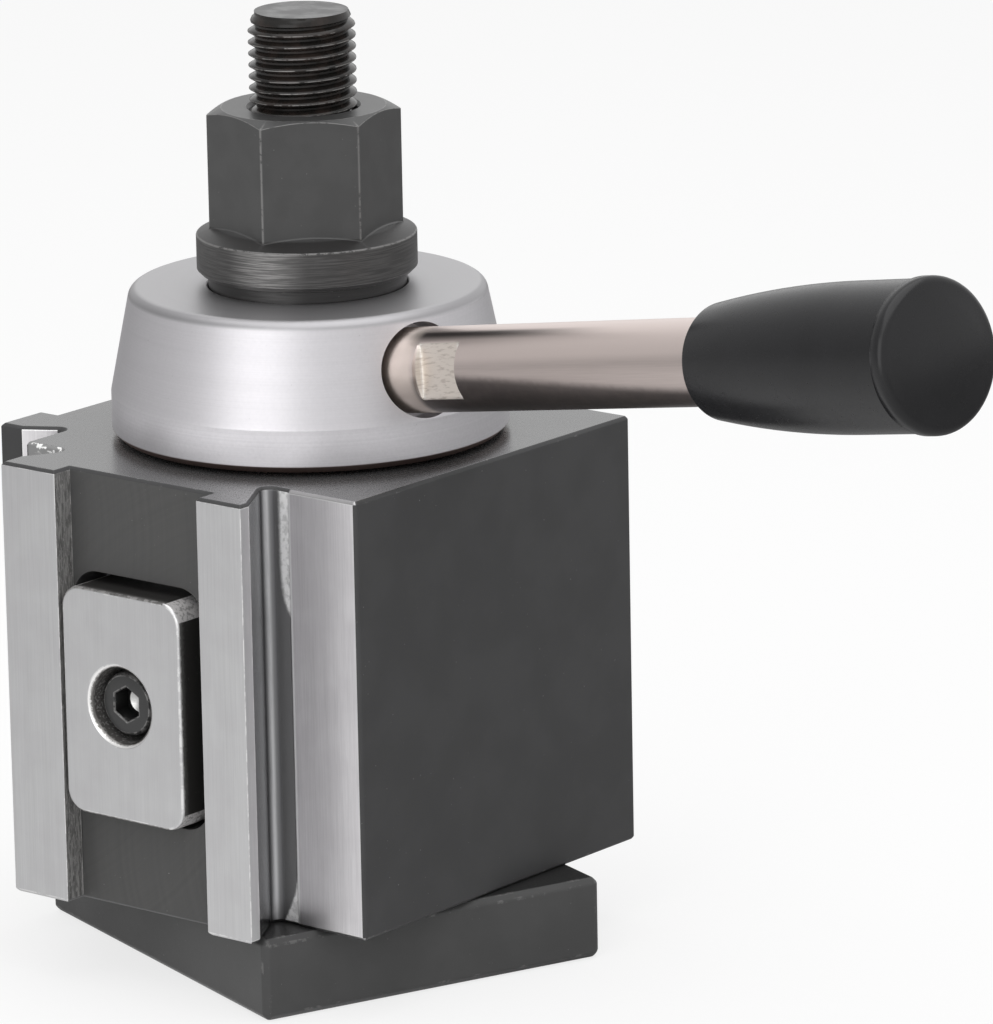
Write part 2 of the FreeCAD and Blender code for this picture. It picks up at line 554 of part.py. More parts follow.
def handle_grip():
    """Barrel grip: it swells from a narrow neck to a straight end, closed by a wider domed cap."""
    bore = ROD_RADIUS + RUNNING_FIT
    bore_end = GRIP_START + ROD_IN_GRIP + END_PLAY
    swell_end = GRIP_START + GRIP_BARREL_LENGTH
    rim = GRIP_START + GRIP_LENGTH
    swell = GRIP_RADIUS - GRIP_NECK_RADIUS
    barrel_radius = (GRIP_BARREL_LENGTH ** 2 + swell ** 2) / (2 * swell)

    def barrel(s):
        """Point of the swelling side at a distance along the handle."""
        drop = barrel_radius - math.sqrt(barrel_radius ** 2 - (swell_end - s) ** 2)
        return Vector(s, GRIP_RADIUS - drop, 0)

    neck_end = GRIP_START + GRIP_NECK_ROUNDING
    cap_start = rim - GRIP_CAP_LENGTH
    corner = GRIP_RIM_RADIUS * (1 - math.sqrt(0.5))
    face_radius = GRIP_CAP_RADIUS - GRIP_RIM_RADIUS
    dome_radius = (face_radius ** 2 + GRIP_DOME ** 2) / (2 * GRIP_DOME)
    dome = Part.Circle(Vector(rim + GRIP_DOME - dome_radius, 0, 0), Vector(0, 0, 1), dome_radius)
    edges = [Part.makeLine(Vector(bore_end, 0, 0), Vector(bore_end, bore, 0)),
             Part.makeLine(Vector(bore_end, bore, 0), Vector(GRIP_START, bore, 0)),
             Part.makeLine(Vector(GRIP_START, bore, 0),
                           Vector(GRIP_START, GRIP_NECK_RADIUS - GRIP_NECK_ROUNDING, 0)),
             Part.makeLine(Vector(GRIP_START, GRIP_NECK_RADIUS - GRIP_NECK_ROUNDING, 0), barrel(neck_end)),
             Part.Arc(barrel(neck_end), barrel((neck_end + swell_end) / 2), barrel(swell_end)).toShape(),
             Part.makeLine(barrel(swell_end), Vector(cap_start, GRIP_RADIUS, 0)),
             Part.makeLine(Vector(cap_start, GRIP_RADIUS, 0), Vector(cap_start, GRIP_CAP_RADIUS, 0)),
             Part.makeLine(Vector(cap_start, GRIP_CAP_RADIUS, 0),
                           Vector(rim - GRIP_RIM_RADIUS, GRIP_CAP_RADIUS, 0)),
             Part.Arc(Vector(rim - GRIP_RIM_RADIUS, GRIP_CAP_RADIUS, 0),
                      Vector(rim - corner, GRIP_CAP_RADIUS - corner, 0),
                      Vector(rim, face_radius, 0)).toShape(),
             Part.Arc(dome, 0, math.asin(face_radius / dome_radius)).toShape(),
             Part.makeLine(Vector(rim + GRIP_DOME, 0, 0), Vector(bore_end, 0, 0))]
    profile = Part.Face(Part.Wire(edges))
    return along_handle(profile.revolve(Vector(0, 0, 0), Vector(1, 0, 0), 360))


def lock_plate():
    plate = upright_plate(PLATE_OFFSET, PLATE_LEVEL, PLATE_WIDTH, PLATE_HEIGHT, PLATE_CORNER_RADIUS,
                          PLATE_BACK, DOVETAIL_FACE)
    front_edges = [edge for edge in plate.Edges if edge.BoundBox.YMax < -DOVETAIL_FACE + 1e-4]
    plate = plate.makeChamfer(PLATE_CHAMFER, front_edges)
    chamfer = Part.makeCone(COUNTERBORE_RADIUS, COUNTERBORE_RADIUS + COUNTERBORE_CHAMFER, COUNTERBORE_CHAMFER,
                            Vector(-LOCK_OFFSET, -DOVETAIL_FACE + COUNTERBORE_CHAMFER, LOCK_LEVEL),
                            Vector(0, -1, 0))
    return plate.cut([lock_rod(SCREW_RADIUS + SCREW_HOLE_GAP, PLATE_BACK, DOVETAIL_FACE),
                      lock_rod(COUNTERBORE_RADIUS, HEAD_SEAT, DOVETAIL_FACE), chamfer])


def plate_screw():
    """Socket head cap screw that holds the plate on its piston."""
    head = lock_rod(HEAD_RADIUS, HEAD_SEAT, HEAD_FACE)
    rim = [edge for edge in head.Edges if edge.BoundBox.YMax < -HEAD_FACE + 1e-4]
    head = head.makeChamfer(HEAD_CHAMFER, rim)
    socket_radius = SOCKET_ACROSS / 2 / math.cos(math.radians(30))
    corners = [(socket_radius * math.cos(math.radians(60 * corner)) - LOCK_OFFSET,
                socket_radius * math.sin(math.radians(60 * corner)) + LOCK_LEVEL, 0) for corner in range(6)]
    socket = outline_face(corners, lambda point: Vector(point.x, -HEAD_FACE, point.y))
    head = head.cut(socket.extrude(Vector(0, SOCKET_DEPTH, 0)))
    return head.fuse(lock_rod(SCREW_RADIUS, HEAD_SEAT - SCREW_LENGTH, HEAD_SEAT)).removeSplitter()


def lock_piston():
    """Piston with a domed nose on the cam, a threaded hole for the screw and a slot for its keeper pin."""
    barrel = lock_rod(PISTON_RADIUS, PISTON_FRONT, PLATE_BACK)
    ends = [edge for edge in barrel.Edges if edge.BoundBox.YLength < 1e-4]
    barrel = barrel.makeChamfer(PISTON_CHAMFER, ends)
    nose = lock_rod(NOSE_RADIUS, NOSE_TIP, PISTON_FRONT)
    dome_depth = NOSE_DOME_RADIUS - math.sqrt(NOSE_DOME_RADIUS ** 2 - NOSE_RADIUS ** 2)
    dome = Part.makeSphere(NOSE_DOME_RADIUS, Vector(-LOCK_OFFSET, -DOME_CENTRE, LOCK_LEVEL))
    nose = nose.common(dome.fuse(lock_rod(NOSE_RADIUS, NOSE_TIP + dome_depth, PISTON_FRONT)))
    screw_hole = lock_rod(SCREW_RADIUS + THREAD_FIT, HEAD_SEAT - SCREW_LENGTH - SLOT_GAP, PLATE_BACK)
    slot_width = 2 * (PIN_RADIUS + RUNNING_FIT)
    outer = PIN_DISTANCE + PIN_RADIUS + LOCK_BACK_TRAVEL + SLOT_GAP
    inner = PIN_DISTANCE - PIN_RADIUS - LOCK_TRAVEL - SLOT_GAP
    underside = LOCK_LEVEL - PISTON_RADIUS
    slot = Part.makeBox(slot_width, outer - inner, PIN_ENTRY + 2 * SLOT_GAP,
                        Vector(-LOCK_OFFSET - slot_width / 2, -outer, underside - SLOT_GAP))
    return barrel.fuse(nose).cut([screw_hole, slot])


def keeper_pin():
    """Pin from the body's underside into the slot of the piston, which it keeps from turning."""
    top = LOCK_LEVEL - PISTON_RADIUS + PIN_ENTRY
    return chamfered_ends(disc(PIN_RADIUS, BODY_BOTTOM + END_PLAY, top, -LOCK_OFFSET, -PIN_DISTANCE))


def main():
    nodes = {
        "t_nut": t_nut(),
        "centre_stud": centre_stud(),
        "post_body": post_body(),
        "centre_sleeve": centre_sleeve(),
        "retaining_ring": retaining_ring(),
        "thrust_washer": thrust_washer(),
        "cam_drum": cam_drum(),
        "hub_dowel_pins": hub_dowel_pins(),
        "handle_hub": handle_hub(),
        "handle_rod": handle_rod(),
        "handle_grip": handle_grip(),
        "clamp_nut": clamp_nut(),
        "front_lock_plate": lock_plate(),
        "front_plate_screw": plate_screw(),
        "front_piston": lock_piston(),
        "front_keeper_pin": keeper_pin(),
        "side_lock_plate": on_side(lock_plate()),
        "side_plate_screw": on_side(plate_screw()),
        "side_piston": on_side(lock_piston()),
        "side_keeper_pin": on_side(keeper_pin()),
    }
    os.makedirs("parts", exist_ok=True)
    for name, shape in nodes.items():
        shape.exportStep(f"parts/{name}.step")
        box = shape.BoundBox
        print(f"{name:18s} valid {shape.isValid()} solids {len(shape.Solids)} "
              f"volume {shape.Volume:10.1f} z {box.ZMin:.2f}..{box.ZMax:.2f}")


main()
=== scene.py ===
"""Dresses the tool post: finishes, real threads, rounded and worn edges, then the stage and the camera."""
from functools import partialmethod
from math import atan2, cos, hypot, pi, radians, sin, sqrt, tan, tau

import bmesh
import bpy
from bpy.props import FloatProperty, FloatVectorProperty, IntProperty, PointerProperty
from bpy.types import Operator, Panel, PropertyGroup
from mathutils import Matrix, Vector


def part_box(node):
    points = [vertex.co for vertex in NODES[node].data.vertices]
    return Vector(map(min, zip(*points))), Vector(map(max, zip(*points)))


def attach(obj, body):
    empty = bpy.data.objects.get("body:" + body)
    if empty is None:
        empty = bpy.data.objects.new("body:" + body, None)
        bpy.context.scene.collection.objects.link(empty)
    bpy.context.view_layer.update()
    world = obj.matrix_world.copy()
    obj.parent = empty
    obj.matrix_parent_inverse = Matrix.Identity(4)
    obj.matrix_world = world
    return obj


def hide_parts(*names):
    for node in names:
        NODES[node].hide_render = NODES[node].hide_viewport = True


bl_info = {
    "name": "Tool post finishes",
    "version": (1, 0, 0),
    "blender": (4, 5, 0),
    "location": "3D View > Sidebar > Tool Post",
    "description": "Dresses a quick-change tool post with threads, worn edges and steel finishes",
    "category": "Object",
}

MM = 0.001
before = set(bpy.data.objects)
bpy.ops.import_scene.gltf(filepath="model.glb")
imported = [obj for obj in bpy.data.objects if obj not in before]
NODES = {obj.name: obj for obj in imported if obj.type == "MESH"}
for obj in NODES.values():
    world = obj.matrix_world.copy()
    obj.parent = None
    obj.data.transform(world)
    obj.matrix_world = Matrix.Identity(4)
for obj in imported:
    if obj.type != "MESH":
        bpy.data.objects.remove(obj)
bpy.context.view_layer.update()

# Levels and radii that the frame gives, in millimetres
BODY_LOW, BODY_HIGH = (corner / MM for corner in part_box("post_body"))
BODY_TOP = BODY_HIGH.z
SLEEVE_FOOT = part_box("centre_sleeve")[0].z / MM
SLEEVE_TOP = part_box("centre_sleeve")[1].z / MM
COLLAR_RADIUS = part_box("centre_sleeve")[1].x / MM
HUB_LOW, HUB_HIGH = (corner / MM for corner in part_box("handle_hub"))
NUT_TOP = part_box("clamp_nut")[1].z / MM
NUT_FLANGE_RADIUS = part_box("clamp_nut")[1].x / MM
PLATE_FACE = -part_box("front_lock_plate")[0].y / MM
STUD_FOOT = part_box("centre_stud")[0].z / MM
STUD_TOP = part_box("centre_stud")[1].z / MM
STUD_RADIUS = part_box("centre_stud")[1].x / MM

# Sizes of the construction that a box can't give, in millimetres and degrees
SHOULDER_FACE = 26.5
DOVETAIL_FACE = 36.15
NEAR_FLAT_FOOT = 31.5
NEAR_FLAT_REACH = 18.0
FLANK_TOP = 34.6
ROOT_REACH = 17.0
CHANNEL_FLOOR = 33.15
CHANNEL_REACH = 13.5
RELIEF_EDGE = 18.4
HUB_FOOT = BODY_TOP + 0.5
HUB_FOOT_CHAMFER = 0.85
HUB_BAND_TOP = HUB_FOOT + 5.6
HUB_CONE_ANGLE = 11.4
HUB_SPIGOT_RADIUS = 18.9
HUB_BORE = 11.06
COLLAR_BORE = 13.03
COLLAR_SEAT = HUB_HIGH.z - 6.9
SLEEVE_BORE = 7.3
SLEEVE_RADIUS = 11.0
SLEEVE_FOOT_RADIUS = 9.5
SLEEVE_STEP = 21.0
RING_GROOVE_RADIUS = 8.75
RING_GROOVE_LOW, RING_GROOVE_HIGH = 13.7, 14.9
NUT_ACROSS_FLATS = 22.0
NUT_TURN = 43.97
NUT_FLANGE_HEIGHT = 5.15
NUT_TOP_ANGLE = 24.0
NUT_FLANGE_ANGLE = 21.0
HANDLE_DIRECTION = -9.88
HANDLE_RISE_ANGLE = 10.5
HANDLE_SIDE_OFFSET = -1.44
HANDLE_HEIGHT = HUB_FOOT + 7.3
ROD_RADIUS = 5.52
ROD_HOLE_RADIUS = 6.2
ROD_SHOULDER = 21.0
FLAT_ROLL = 5.0
GRIP_START = 83.0
LOCK_OFFSET = 2.7
LOCK_LEVEL = 39.2
COUNTERBORE_RADIUS = 4.95
HEAD_FACE = 34.85
HEAD_RADIUS = 4.25
HEAD_HEIGHT = 5.0
SCREW_RADIUS = 2.5
SCREW_LENGTH = 12.0
ROOM = 0.05                 # between a bore and what runs through it

BLACK_IOR = 1.3             # black oxide reflects less than lacquer
MERGE_DISTANCE = 2e-7       # metres
SHARP_ANGLE = 32.0
COLUMN_STEP = 180           # between nodes, in the node editor

# Stage: directions in degrees round the post from its front, lengths in metres
LAMP_AIM = (0, 0, 0.06)
FLOOR_SIZE = 6.0
FLOOR_LIT_SIDE = 10
DIM_SIDE = -72              # where mirrors see a darker room
ROOM_LIGHT = 0.62           # the world's strength on what doesn't mirror it


def length_property(name, description, default):
    """Length, whose default is in millimetres."""
    return FloatProperty(name=name, description=description, default=default * MM, unit="LENGTH")


def angle_property(name, description, default):
    """Angle, whose default is in degrees."""
    return FloatProperty(name=name, description=description, default=radians(default), subtype="ANGLE")


def colour_property(name, description, default):
    return FloatVectorProperty(name=name, description=description, default=default, subtype="COLOR", size=3)


class ToolPostSizes(PropertyGroup):
    """Fine sizes that the looks add to the construction."""
    thread_pitch: length_property("Thread pitch", "Stud thread, crest to crest", 1.5)
    thread_depth: length_property("Thread depth", "Stud thread, crest to root", 0.92)
    thread_length: length_property("Thread length", "Threaded stretch at the stud's top", 17.0)
    edge_rounding: length_property("Edge rounding", "Rounding of the milled edges", 0.12)
    nut_edge_rounding: length_property("Nut edge rounding", "Rounding of the hexagon's corners", 0.45)
    knurl_count: IntProperty(name="Knurl ridges", description="Ridges round a screw's head", default=54)
    knurl_depth: length_property("Knurl depth", "Height of the ridges on a screw head", 0.11)


class ToolPostColours(PropertyGroup):
    """Base colours of the finishes."""
    black_oxide: colour_property("Black oxide", "Blackened steel of the body", (0.050, 0.050, 0.051))
    nut_black: colour_property("Nut black", "Blackened steel of the nut", (0.045, 0.045, 0.045))
    stud_black: colour_property("Stud black", "Blackened steel of the stud", (0.012, 0.011, 0.010))
    ground_steel: colour_property("Ground steel", "Ground dovetail and plate faces", (0.55, 0.55, 0.555))
    shoulder_steel: colour_property("Shoulder steel", "Ground shoulders", (0.71, 0.695, 0.71))
    turned_steel: colour_property("Turned steel", "Hub", (0.72, 0.705, 0.73))
    nickel: colour_property("Nickel", "Plated handle rod", (0.57, 0.495, 0.47))
    grip_black: colour_property("Grip black", "Satin black handle grip", (0.009, 0.009, 0.010))
    bare_steel: colour_property("Bare steel", "Where a blackened edge is worn through", (0.62, 0.61, 0.60))
    floor: colour_property("Floor", "Pale floor", (0.93, 0.93, 0.93))


class ToolPostCamera(PropertyGroup):
    """The photograph's viewpoint."""
    azimuth: angle_property("Azimuth", "Round the post from its front", 39.169)
    elevation: angle_property("Elevation", "Above the horizon", 14.403)
    roll: angle_property("Roll", "About the line of sight", -1.086)
    distance: length_property("Distance", "Camera to the aim height, along the line of sight", 1059.15)
    aim_height: length_property("Aim height", "Level of the point that the camera is set from", 40.0)
    shift_right: length_property("Right of the aim", "Camera's place across the line of sight", 23.675)
    shift_up: length_property("Above the aim", "Camera's place above the line of sight", 17.259)
    lens: FloatProperty(name="Lens", description="Focal length for a 36 mm sensor along the long side",
                        default=282.69, unit="CAMERA")


def sizes():
    return bpy.context.scene.tool_post_sizes


def colours():
    return bpy.context.scene.tool_post_colours


# Mesh helpers

def rounded_section(corners, steps=4):
    """Points (radius, height, wear) of a section. Corners are (radius, height, rounding), in millimetres.

    The middle of a rounding counts as worn. A sharp corner needs no rounding.
    """
    points = []
    for index, (radius, height, *rounding) in enumerate(corners):
        here = Vector((radius, height))
        if not rounding:
            points.append((radius, height))
            continue
        back = (Vector(corners[index - 1][:2]) - here).normalized()
        onward = (Vector(corners[(index + 1) % len(corners)][:2]) - here).normalized()
        half = back.angle(onward) / 2
        centre = here + (back + onward).normalized() * (rounding[0] / sin(half))
        start = here + back * (rounding[0] / tan(half)) - centre
        end = here + onward * (rounding[0] / tan(half)) - centre
        for step in range(steps + 1):
            share = step / steps
            turn = start.angle(end)
            mixed = start * sin((1 - share) * turn) + end * sin(share * turn)
            point = centre + mixed / sin(turn)
            points.append((point.x, point.y, sin(pi * share)))
    return points


def at(radius, angle, height):
    """Point round local Z, given in millimetres."""
    return Vector((radius * cos(angle), radius * sin(angle), height)) * MM


def even_angles(count):
    return [tau * step / count for step in range(count)]


def polar_bmesh(angles, section, place=Matrix.Identity(4)):
    """Closed solid swept round its local Z, at the angles given or in that many even steps.

    The section is a list of (radius, height, wear if any), or a function that gives it for an angle.
    """
    bm = bmesh.new()
    wear_layer = bm.verts.layers.float.new("wear")
    rings = []
    for angle in even_angles(angles) if isinstance(angles, int) else angles:
        ring = []
        for radius, height, *wear in section(angle) if callable(section) else section:
            vert = bm.verts.new(place @ at(radius, angle, height))
            vert[wear_layer] = wear[0] if wear else 0.0
            ring.append(vert)
        rings.append(ring)
    for ring, following in zip(rings, rings[1:] + rings[:1]):
        for low in range(len(ring)):
            high = (low + 1) % len(ring)
            bm.faces.new((ring[low], following[low], following[high], ring[high]))
    return bm


def bevelled_copy(node, width, zone_of, angle=24.0):
    """Bmesh of a node's own shape with rounded edges. Corners of the rounded faces are marked as worn."""
    bm = bmesh.new()
    bm.from_mesh(NODES[node].data)
    bmesh.ops.remove_doubles(bm, verts=bm.verts, dist=MERGE_DISTANCE)
    bmesh.ops.dissolve_limit(bm, angle_limit=radians(0.4), verts=bm.verts, edges=bm.edges)
    for face in bm.faces:
        face.material_index = zone_of(face.calc_center_median() / MM, face.normal)
    edges = [edge for edge in bm.edges
             if edge.is_manifold and edge.calc_face_angle() > radians(angle)]
    made = bmesh.ops.bevel(bm, geom=edges, offset=width, offset_type="OFFSET", segments=2, profile=0.5,
                           affect="EDGES", clamp_overlap=False, material=-1)
    wear_layer = bm.loops.layers.float.new("wear")
    for face in made["faces"]:
        for loop in face.loops:
            loop[wear_layer] = 1.0
    return bm


def clean_mesh(name, bm):
    """Mesh of a bmesh, with doubles merged and its normals facing out."""
    bmesh.ops.remove_doubles(bm, verts=bm.verts, dist=MERGE_DISTANCE)
    bmesh.ops.dissolve_degenerate(bm, edges=bm.edges, dist=MERGE_DISTANCE)
    bmesh.ops.recalc_face_normals(bm, faces=bm.faces)
    mesh = bpy.data.meshes.new(name)
    bm.to_mesh(mesh)
    bm.free()
    return mesh


def shade_mesh(mesh, sharp_angle):
    mesh.shade_smooth()
    mesh.set_sharp_from_angle(angle=radians(sharp_angle))


def add_object(name, data):
    added = bpy.data.objects.new(name, data)
    bpy.context.scene.collection.objects.link(added)
    return added


def finish_mesh(name, bm, body, materials, node, sharp_angle=SHARP_ANGLE):
    """Turns a bmesh into a piece that rides on a body, replaces a node and shows its materials."""
    mesh = clean_mesh(name, bm)
    for material in materials:
        mesh.materials.append(material)
    shade_mesh(mesh, sharp_angle)
    piece = add_object(name, mesh)
    even = piece.modifiers.new("Even shading", "WEIGHTED_NORMAL")
    even.keep_sharp = True
    even.weight = 100
    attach(piece, body)
    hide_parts(node)
    return piece


def cut_away(piece, bm):
    """Subtracts a closed bmesh from a piece, before its shading modifier."""
    cutter = add_object("cutter", clean_mesh("cutter", bm))
    boolean = piece.modifiers.new("Hole", "BOOLEAN")
    boolean.operation = "DIFFERENCE"
    boolean.solver = "EXACT"
    boolean.object = cutter
    shading = piece.modifiers["Even shading"]
    shading.show_viewport = False
    bpy.context.view_layer.update()
    made = bpy.data.meshes.new_from_object(piece.evaluated_get(bpy.context.evaluated_depsgraph_get()))
    shading.show_viewport = True
    piece.modifiers.remove(boolean)
    piece.data = made
    bpy.data.objects.remove(cutter)
    shade_mesh(made, SHARP_ANGLE)


def handle_place():
    """Matrix from the handle's own line, along local Z, to the row's frame."""
    turn = Matrix.Rotation(radians(HANDLE_DIRECTION), 4, "Z")
    side = turn @ Vector((0, HANDLE_SIDE_OFFSET, 0))
    start = Matrix.Translation((side + Vector((0, 0, HANDLE_HEIGHT))) * MM)
    rise = Matrix.Rotation(-radians(HANDLE_RISE_ANGLE), 4, "Y")
    local = Matrix(((0, 0, 1, 0), (1, 0, 0, 0), (0, 1, 0, 0), (0, 0, 0, 1)))
    return start @ turn @ rise @ local


# Node helpers

class Value:
    """Number, vector or colour that varies over the surface. Its signs and methods add nodes."""

    def __init__(self, pen, socket):
        self.pen = pen
        self.socket = socket

    def combine(self, operation, other):
        return self.pen.math(operation, self, other)

    def __rsub__(self, other):
        return self.pen.math("SUBTRACT", other, self)

    __add__ = partialmethod(combine, "ADD")
    __sub__ = partialmethod(combine, "SUBTRACT")
    __mul__ = partialmethod(combine, "MULTIPLY")
    __truediv__ = partialmethod(combine, "DIVIDE")
    __pow__ = partialmethod(combine, "POWER")
    larger = partialmethod(combine, "MAXIMUM")
    smaller = partialmethod(combine, "MINIMUM")

    def clamped(self):
        """The same number, kept between 0 and 1."""
        self.socket.node.use_clamp = True
        return self

    def remap(self, low, high, to_low=0.0, to_high=1.0, smooth=True):
        return self.pen.value("MapRange", {"interpolation_type": "SMOOTHSTEP" if smooth else "LINEAR"},
                              Value=self, From_Min=low, From_Max=high, To_Min=to_low, To_Max=to_high)

    def split(self):
        return [Value(self.pen, part) for part in self.pen.add("SeparateXYZ", None, self).outputs]

    def dot(self, other):
        return self.pen.value("VectorMath", {"operation": "DOT_PRODUCT"}, self, other, output="Value")

    def noise(self, scale, detail, roughness=0.5):
        return self.pen.value("TexNoise", Vector=self, Scale=scale, Detail=detail, Roughness=roughness)

    def patches(self, size, detail, roughness=0.5):
        """Noise whose patches are about size wide."""
        return self.noise(self.pen.math("DIVIDE", 1.0, size), detail, roughness)


class Pen:
    """Adds nodes to the tree of its owner and links what it is given."""

    def __init__(self, tree, owner=None):
        self.tree = tree
        self.owner = owner
        self.column = 0

    def add(self, kind, settings=None, *given, **named):
        """Adds a node. What is given goes to its inputs, in their order or by name, with _ for a space."""
        node = self.tree.nodes.new(kind if kind.startswith("NodeGroup") else "ShaderNode" + kind)
        node.location = (self.column, 0)
        self.column += COLUMN_STEP
        for key, value in (settings or {}).items():
            setattr(node, key, value)
        for socket, value in zip(node.inputs, given):
            self.feed(socket, value)
        for key, value in named.items():
            self.feed(node.inputs[key.replace("_", " ")], value)
        return node

    def feed(self, socket, value):
        """Links a value to a socket, or sets the socket. A plain colour is given as three numbers."""
        if isinstance(value, Value):
            value = value.socket
        if isinstance(value, bpy.types.NodeSocket):
            self.tree.links.new(value, socket)
        else:
            socket.default_value = (*value, 1.0) if socket.type == "RGBA" else value

    def value(self, kind, settings=None, *given, output=0, **named):
        """Adds a node and gives one of its outputs."""
        return Value(self, self.add(kind, settings, *given, **named).outputs[output])

    def math(self, operation, *given):
        return self.value("Math", {"operation": operation}, *given)

    def vector(self, operation, *given):
        return self.value("VectorMath", {"operation": operation}, *given)

    def hypotenuse(self, a, b):
        return self.math("SQRT", a * a + b * b)

    def join(self, x, y=0.0):
        return self.value("CombineXYZ", None, x, y)

    def mix(self, share, a, b):
        """Colour between two others."""
        node = self.add("Mix", {"data_type": "RGBA"}, share)
        self.feed(node.inputs[6], a)
        self.feed(node.inputs[7], b)
        return Value(self, node.outputs[2])

    def wear(self):
        return self.value("Attribute", {"attribute_name": "wear"}, output="Fac")


def effect_group(name, inputs, fill):
    """Shader group with its inputs by name and their defaults, filled with nodes."""
    tree = bpy.data.node_groups.new(name, "ShaderNodeTree")
    for label, default in inputs.items():
        kind = "NodeSocketVector" if isinstance(default, tuple) else "NodeSocketFloat"
        tree.interface.new_socket(name=label, in_out="INPUT", socket_type=kind).default_value = default
    tree.interface.new_socket(name="Value", in_out="OUTPUT", socket_type="NodeSocketFloat")
    pen = Pen(tree)
    entry = pen.add("NodeGroupInput")
    made = fill(*[Value(pen, entry.outputs[label]) for label in inputs])
    pen.add("NodeGroupOutput", None, made)
    return tree


def effect(name, **inputs):
    """Makes a shader group of the nodes that a function adds. It is built once and placed by each call."""
    def wrap(fill):
        def placed(place, *given):
            tree = bpy.data.node_groups.get(name) or effect_group(name, inputs, fill)
            return place.pen.value("Group", {"node_tree": tree}, place, *given)
        return placed
    return wrap


@effect("Grain", Place=(0, 0, 0), Squeeze=(1, 1, 1), Roughness=0.6)
def grain(place, squeeze, roughness):
    """Fine lines: noise squeezed by its own factor along each axis. Place is in millimetres."""
    squeezed = place.pen.vector("MULTIPLY", place, squeeze)
    return squeezed.noise(1.0, 5.0, roughness).remap(0.25, 0.75, smooth=False)


@effect("Blotches", Place=(0, 0, 0), Size=5.0, Low=0.35, High=0.65)
def blotches(place, size, low, high):
    """Soft cloudy patches about Size millimetres wide."""
    return place.patches(size, 3.0).remap(low, high)


@effect("Specks", Place=(0, 0, 0), Size=0.3, Share=0.05)
def specks(place, size, share):
    """Sparse small specks about Size millimetres wide. Share is how much of the surface they take."""
    noise = place.patches(size, 1.5)
    return ((noise - (0.78 - share)) * 25.0).clamped()


@effect("Worn edge", Place=(0, 0, 0), Wear=0.0, Size=1.5, Amount=0.5)
def worn_edge(place, wear, size, amount):
    """Broken line of bare metal where Wear is high. Amount is how much of it is bare."""
    noise = place.patches(size, 6.0, 0.7)
    lit = noise - (1.0 - amount).remap(0.0, 1.0, 0.25, 0.75, smooth=False)
    return ((lit * 12.0).clamped() * wear).clamped()


def start_material(name):
    """Pen of a new material, and the object's own place in millimetres."""
    material = bpy.data.materials.new(name)
    material.use_nodes = True
    material.node_tree.nodes.clear()
    pen = Pen(material.node_tree, material)
    place = pen.value("TexCoord", output="Object")
    return pen, pen.vector("MULTIPLY", place, (1 / MM, 1 / MM, 1 / MM))


def end_material(pen, colour, metallic, roughness, height, bump, distance=0.02, **others):
    """Adds the Principled shader, with a bump from height, and the output. Gives the material."""
    normal = pen.value("Bump", Strength=bump, Distance=distance * MM, Height=height)
    shader = pen.value("BsdfPrincipled", Base_Color=colour, Metallic=metallic, Roughness=roughness,
                       Normal=normal, **others)
    pen.add("OutputMaterial", None, shader)
    return pen.owner


def tone(colour, factor):
    """Colour made lighter or darker."""
    return [min(1.0, channel * factor) for channel in colour]


# Finishes

def black_oxide(name, colour, worn=0.4, bright=0.35, roughness=0.36, flecks=0.01, ior=BLACK_IOR):
    """Blackened steel: cloudy and faintly grained, with few light specks and softly worn edges."""
    pen, place = start_material(name)
    fine = grain(place, (3.0, 3.0, 3.0))
    bare = (specks(place, 0.35, flecks) * 0.3).larger(worn_edge(place, pen.wear(), 2.2, worn) * bright)
    light = tone(colour, 1.22)
    base = pen.mix(blotches(place, 7.0) * 0.6, colour, light)
    base = pen.mix(fine * 0.25, base, light)
    base = pen.mix(bare, base, colours().bare_steel)
    rough = fine.remap(0.0, 1.0, roughness - 0.03, roughness + 0.05)
    return end_material(pen, base, bare, rough, fine, 0.06, IOR=ior)


def ground_steel(name, colour, squeeze=(9.0, 9.0, 0.10), contrast=0.10, worn=0.0, burr=0.0):
    """Ground steel: fine lines along Z, a few deeper ones, faint stains, and a bright burr at one edge."""
    pen, place = start_material(name)
    lines = grain(place, squeeze)
    broad = grain(place, [factor * 0.16 for factor in squeeze])
    lined = lines * 0.6 + broad * 0.4
    base = pen.mix(lined, tone(colour, 1 - contrast), tone(colour, 1 + contrast))
    base = pen.mix(blotches(place, 5.0) * 0.10, base, (0.33, 0.30, 0.33))
    if worn:
        base = pen.mix(worn_edge(place, pen.wear(), 2.5, worn) * 0.6, base, (0.85, 0.85, 0.84))
    if burr:
        x, y, _ = place.split()
        beside = x.larger(y) - burr + broad * 0.12
        line = beside.remap(0.48, 0.28) * beside.remap(-0.6, -0.4)
        base = pen.mix(line, base, (0.97, 0.97, 0.97))
    return end_material(pen, base, 1.0, lines.remap(0.0, 1.0, 0.40, 0.29), lined, 0.12)


def chipped_corner(name, colour):
    """Corners of a lock plate: a bright, coarse patch with dark pits."""
    pen, place = start_material(name)
    coarse = grain(place, (2.5, 2.5, 2.5), 0.75)
    pits = blotches(place, 0.4, 0.38, 0.50)
    base = pen.mix(pits * 0.7 + coarse * 0.3, tone(colour, 0.45), colour)
    return end_material(pen, base, 0.3, 0.5, coarse, 0.5, 0.06)


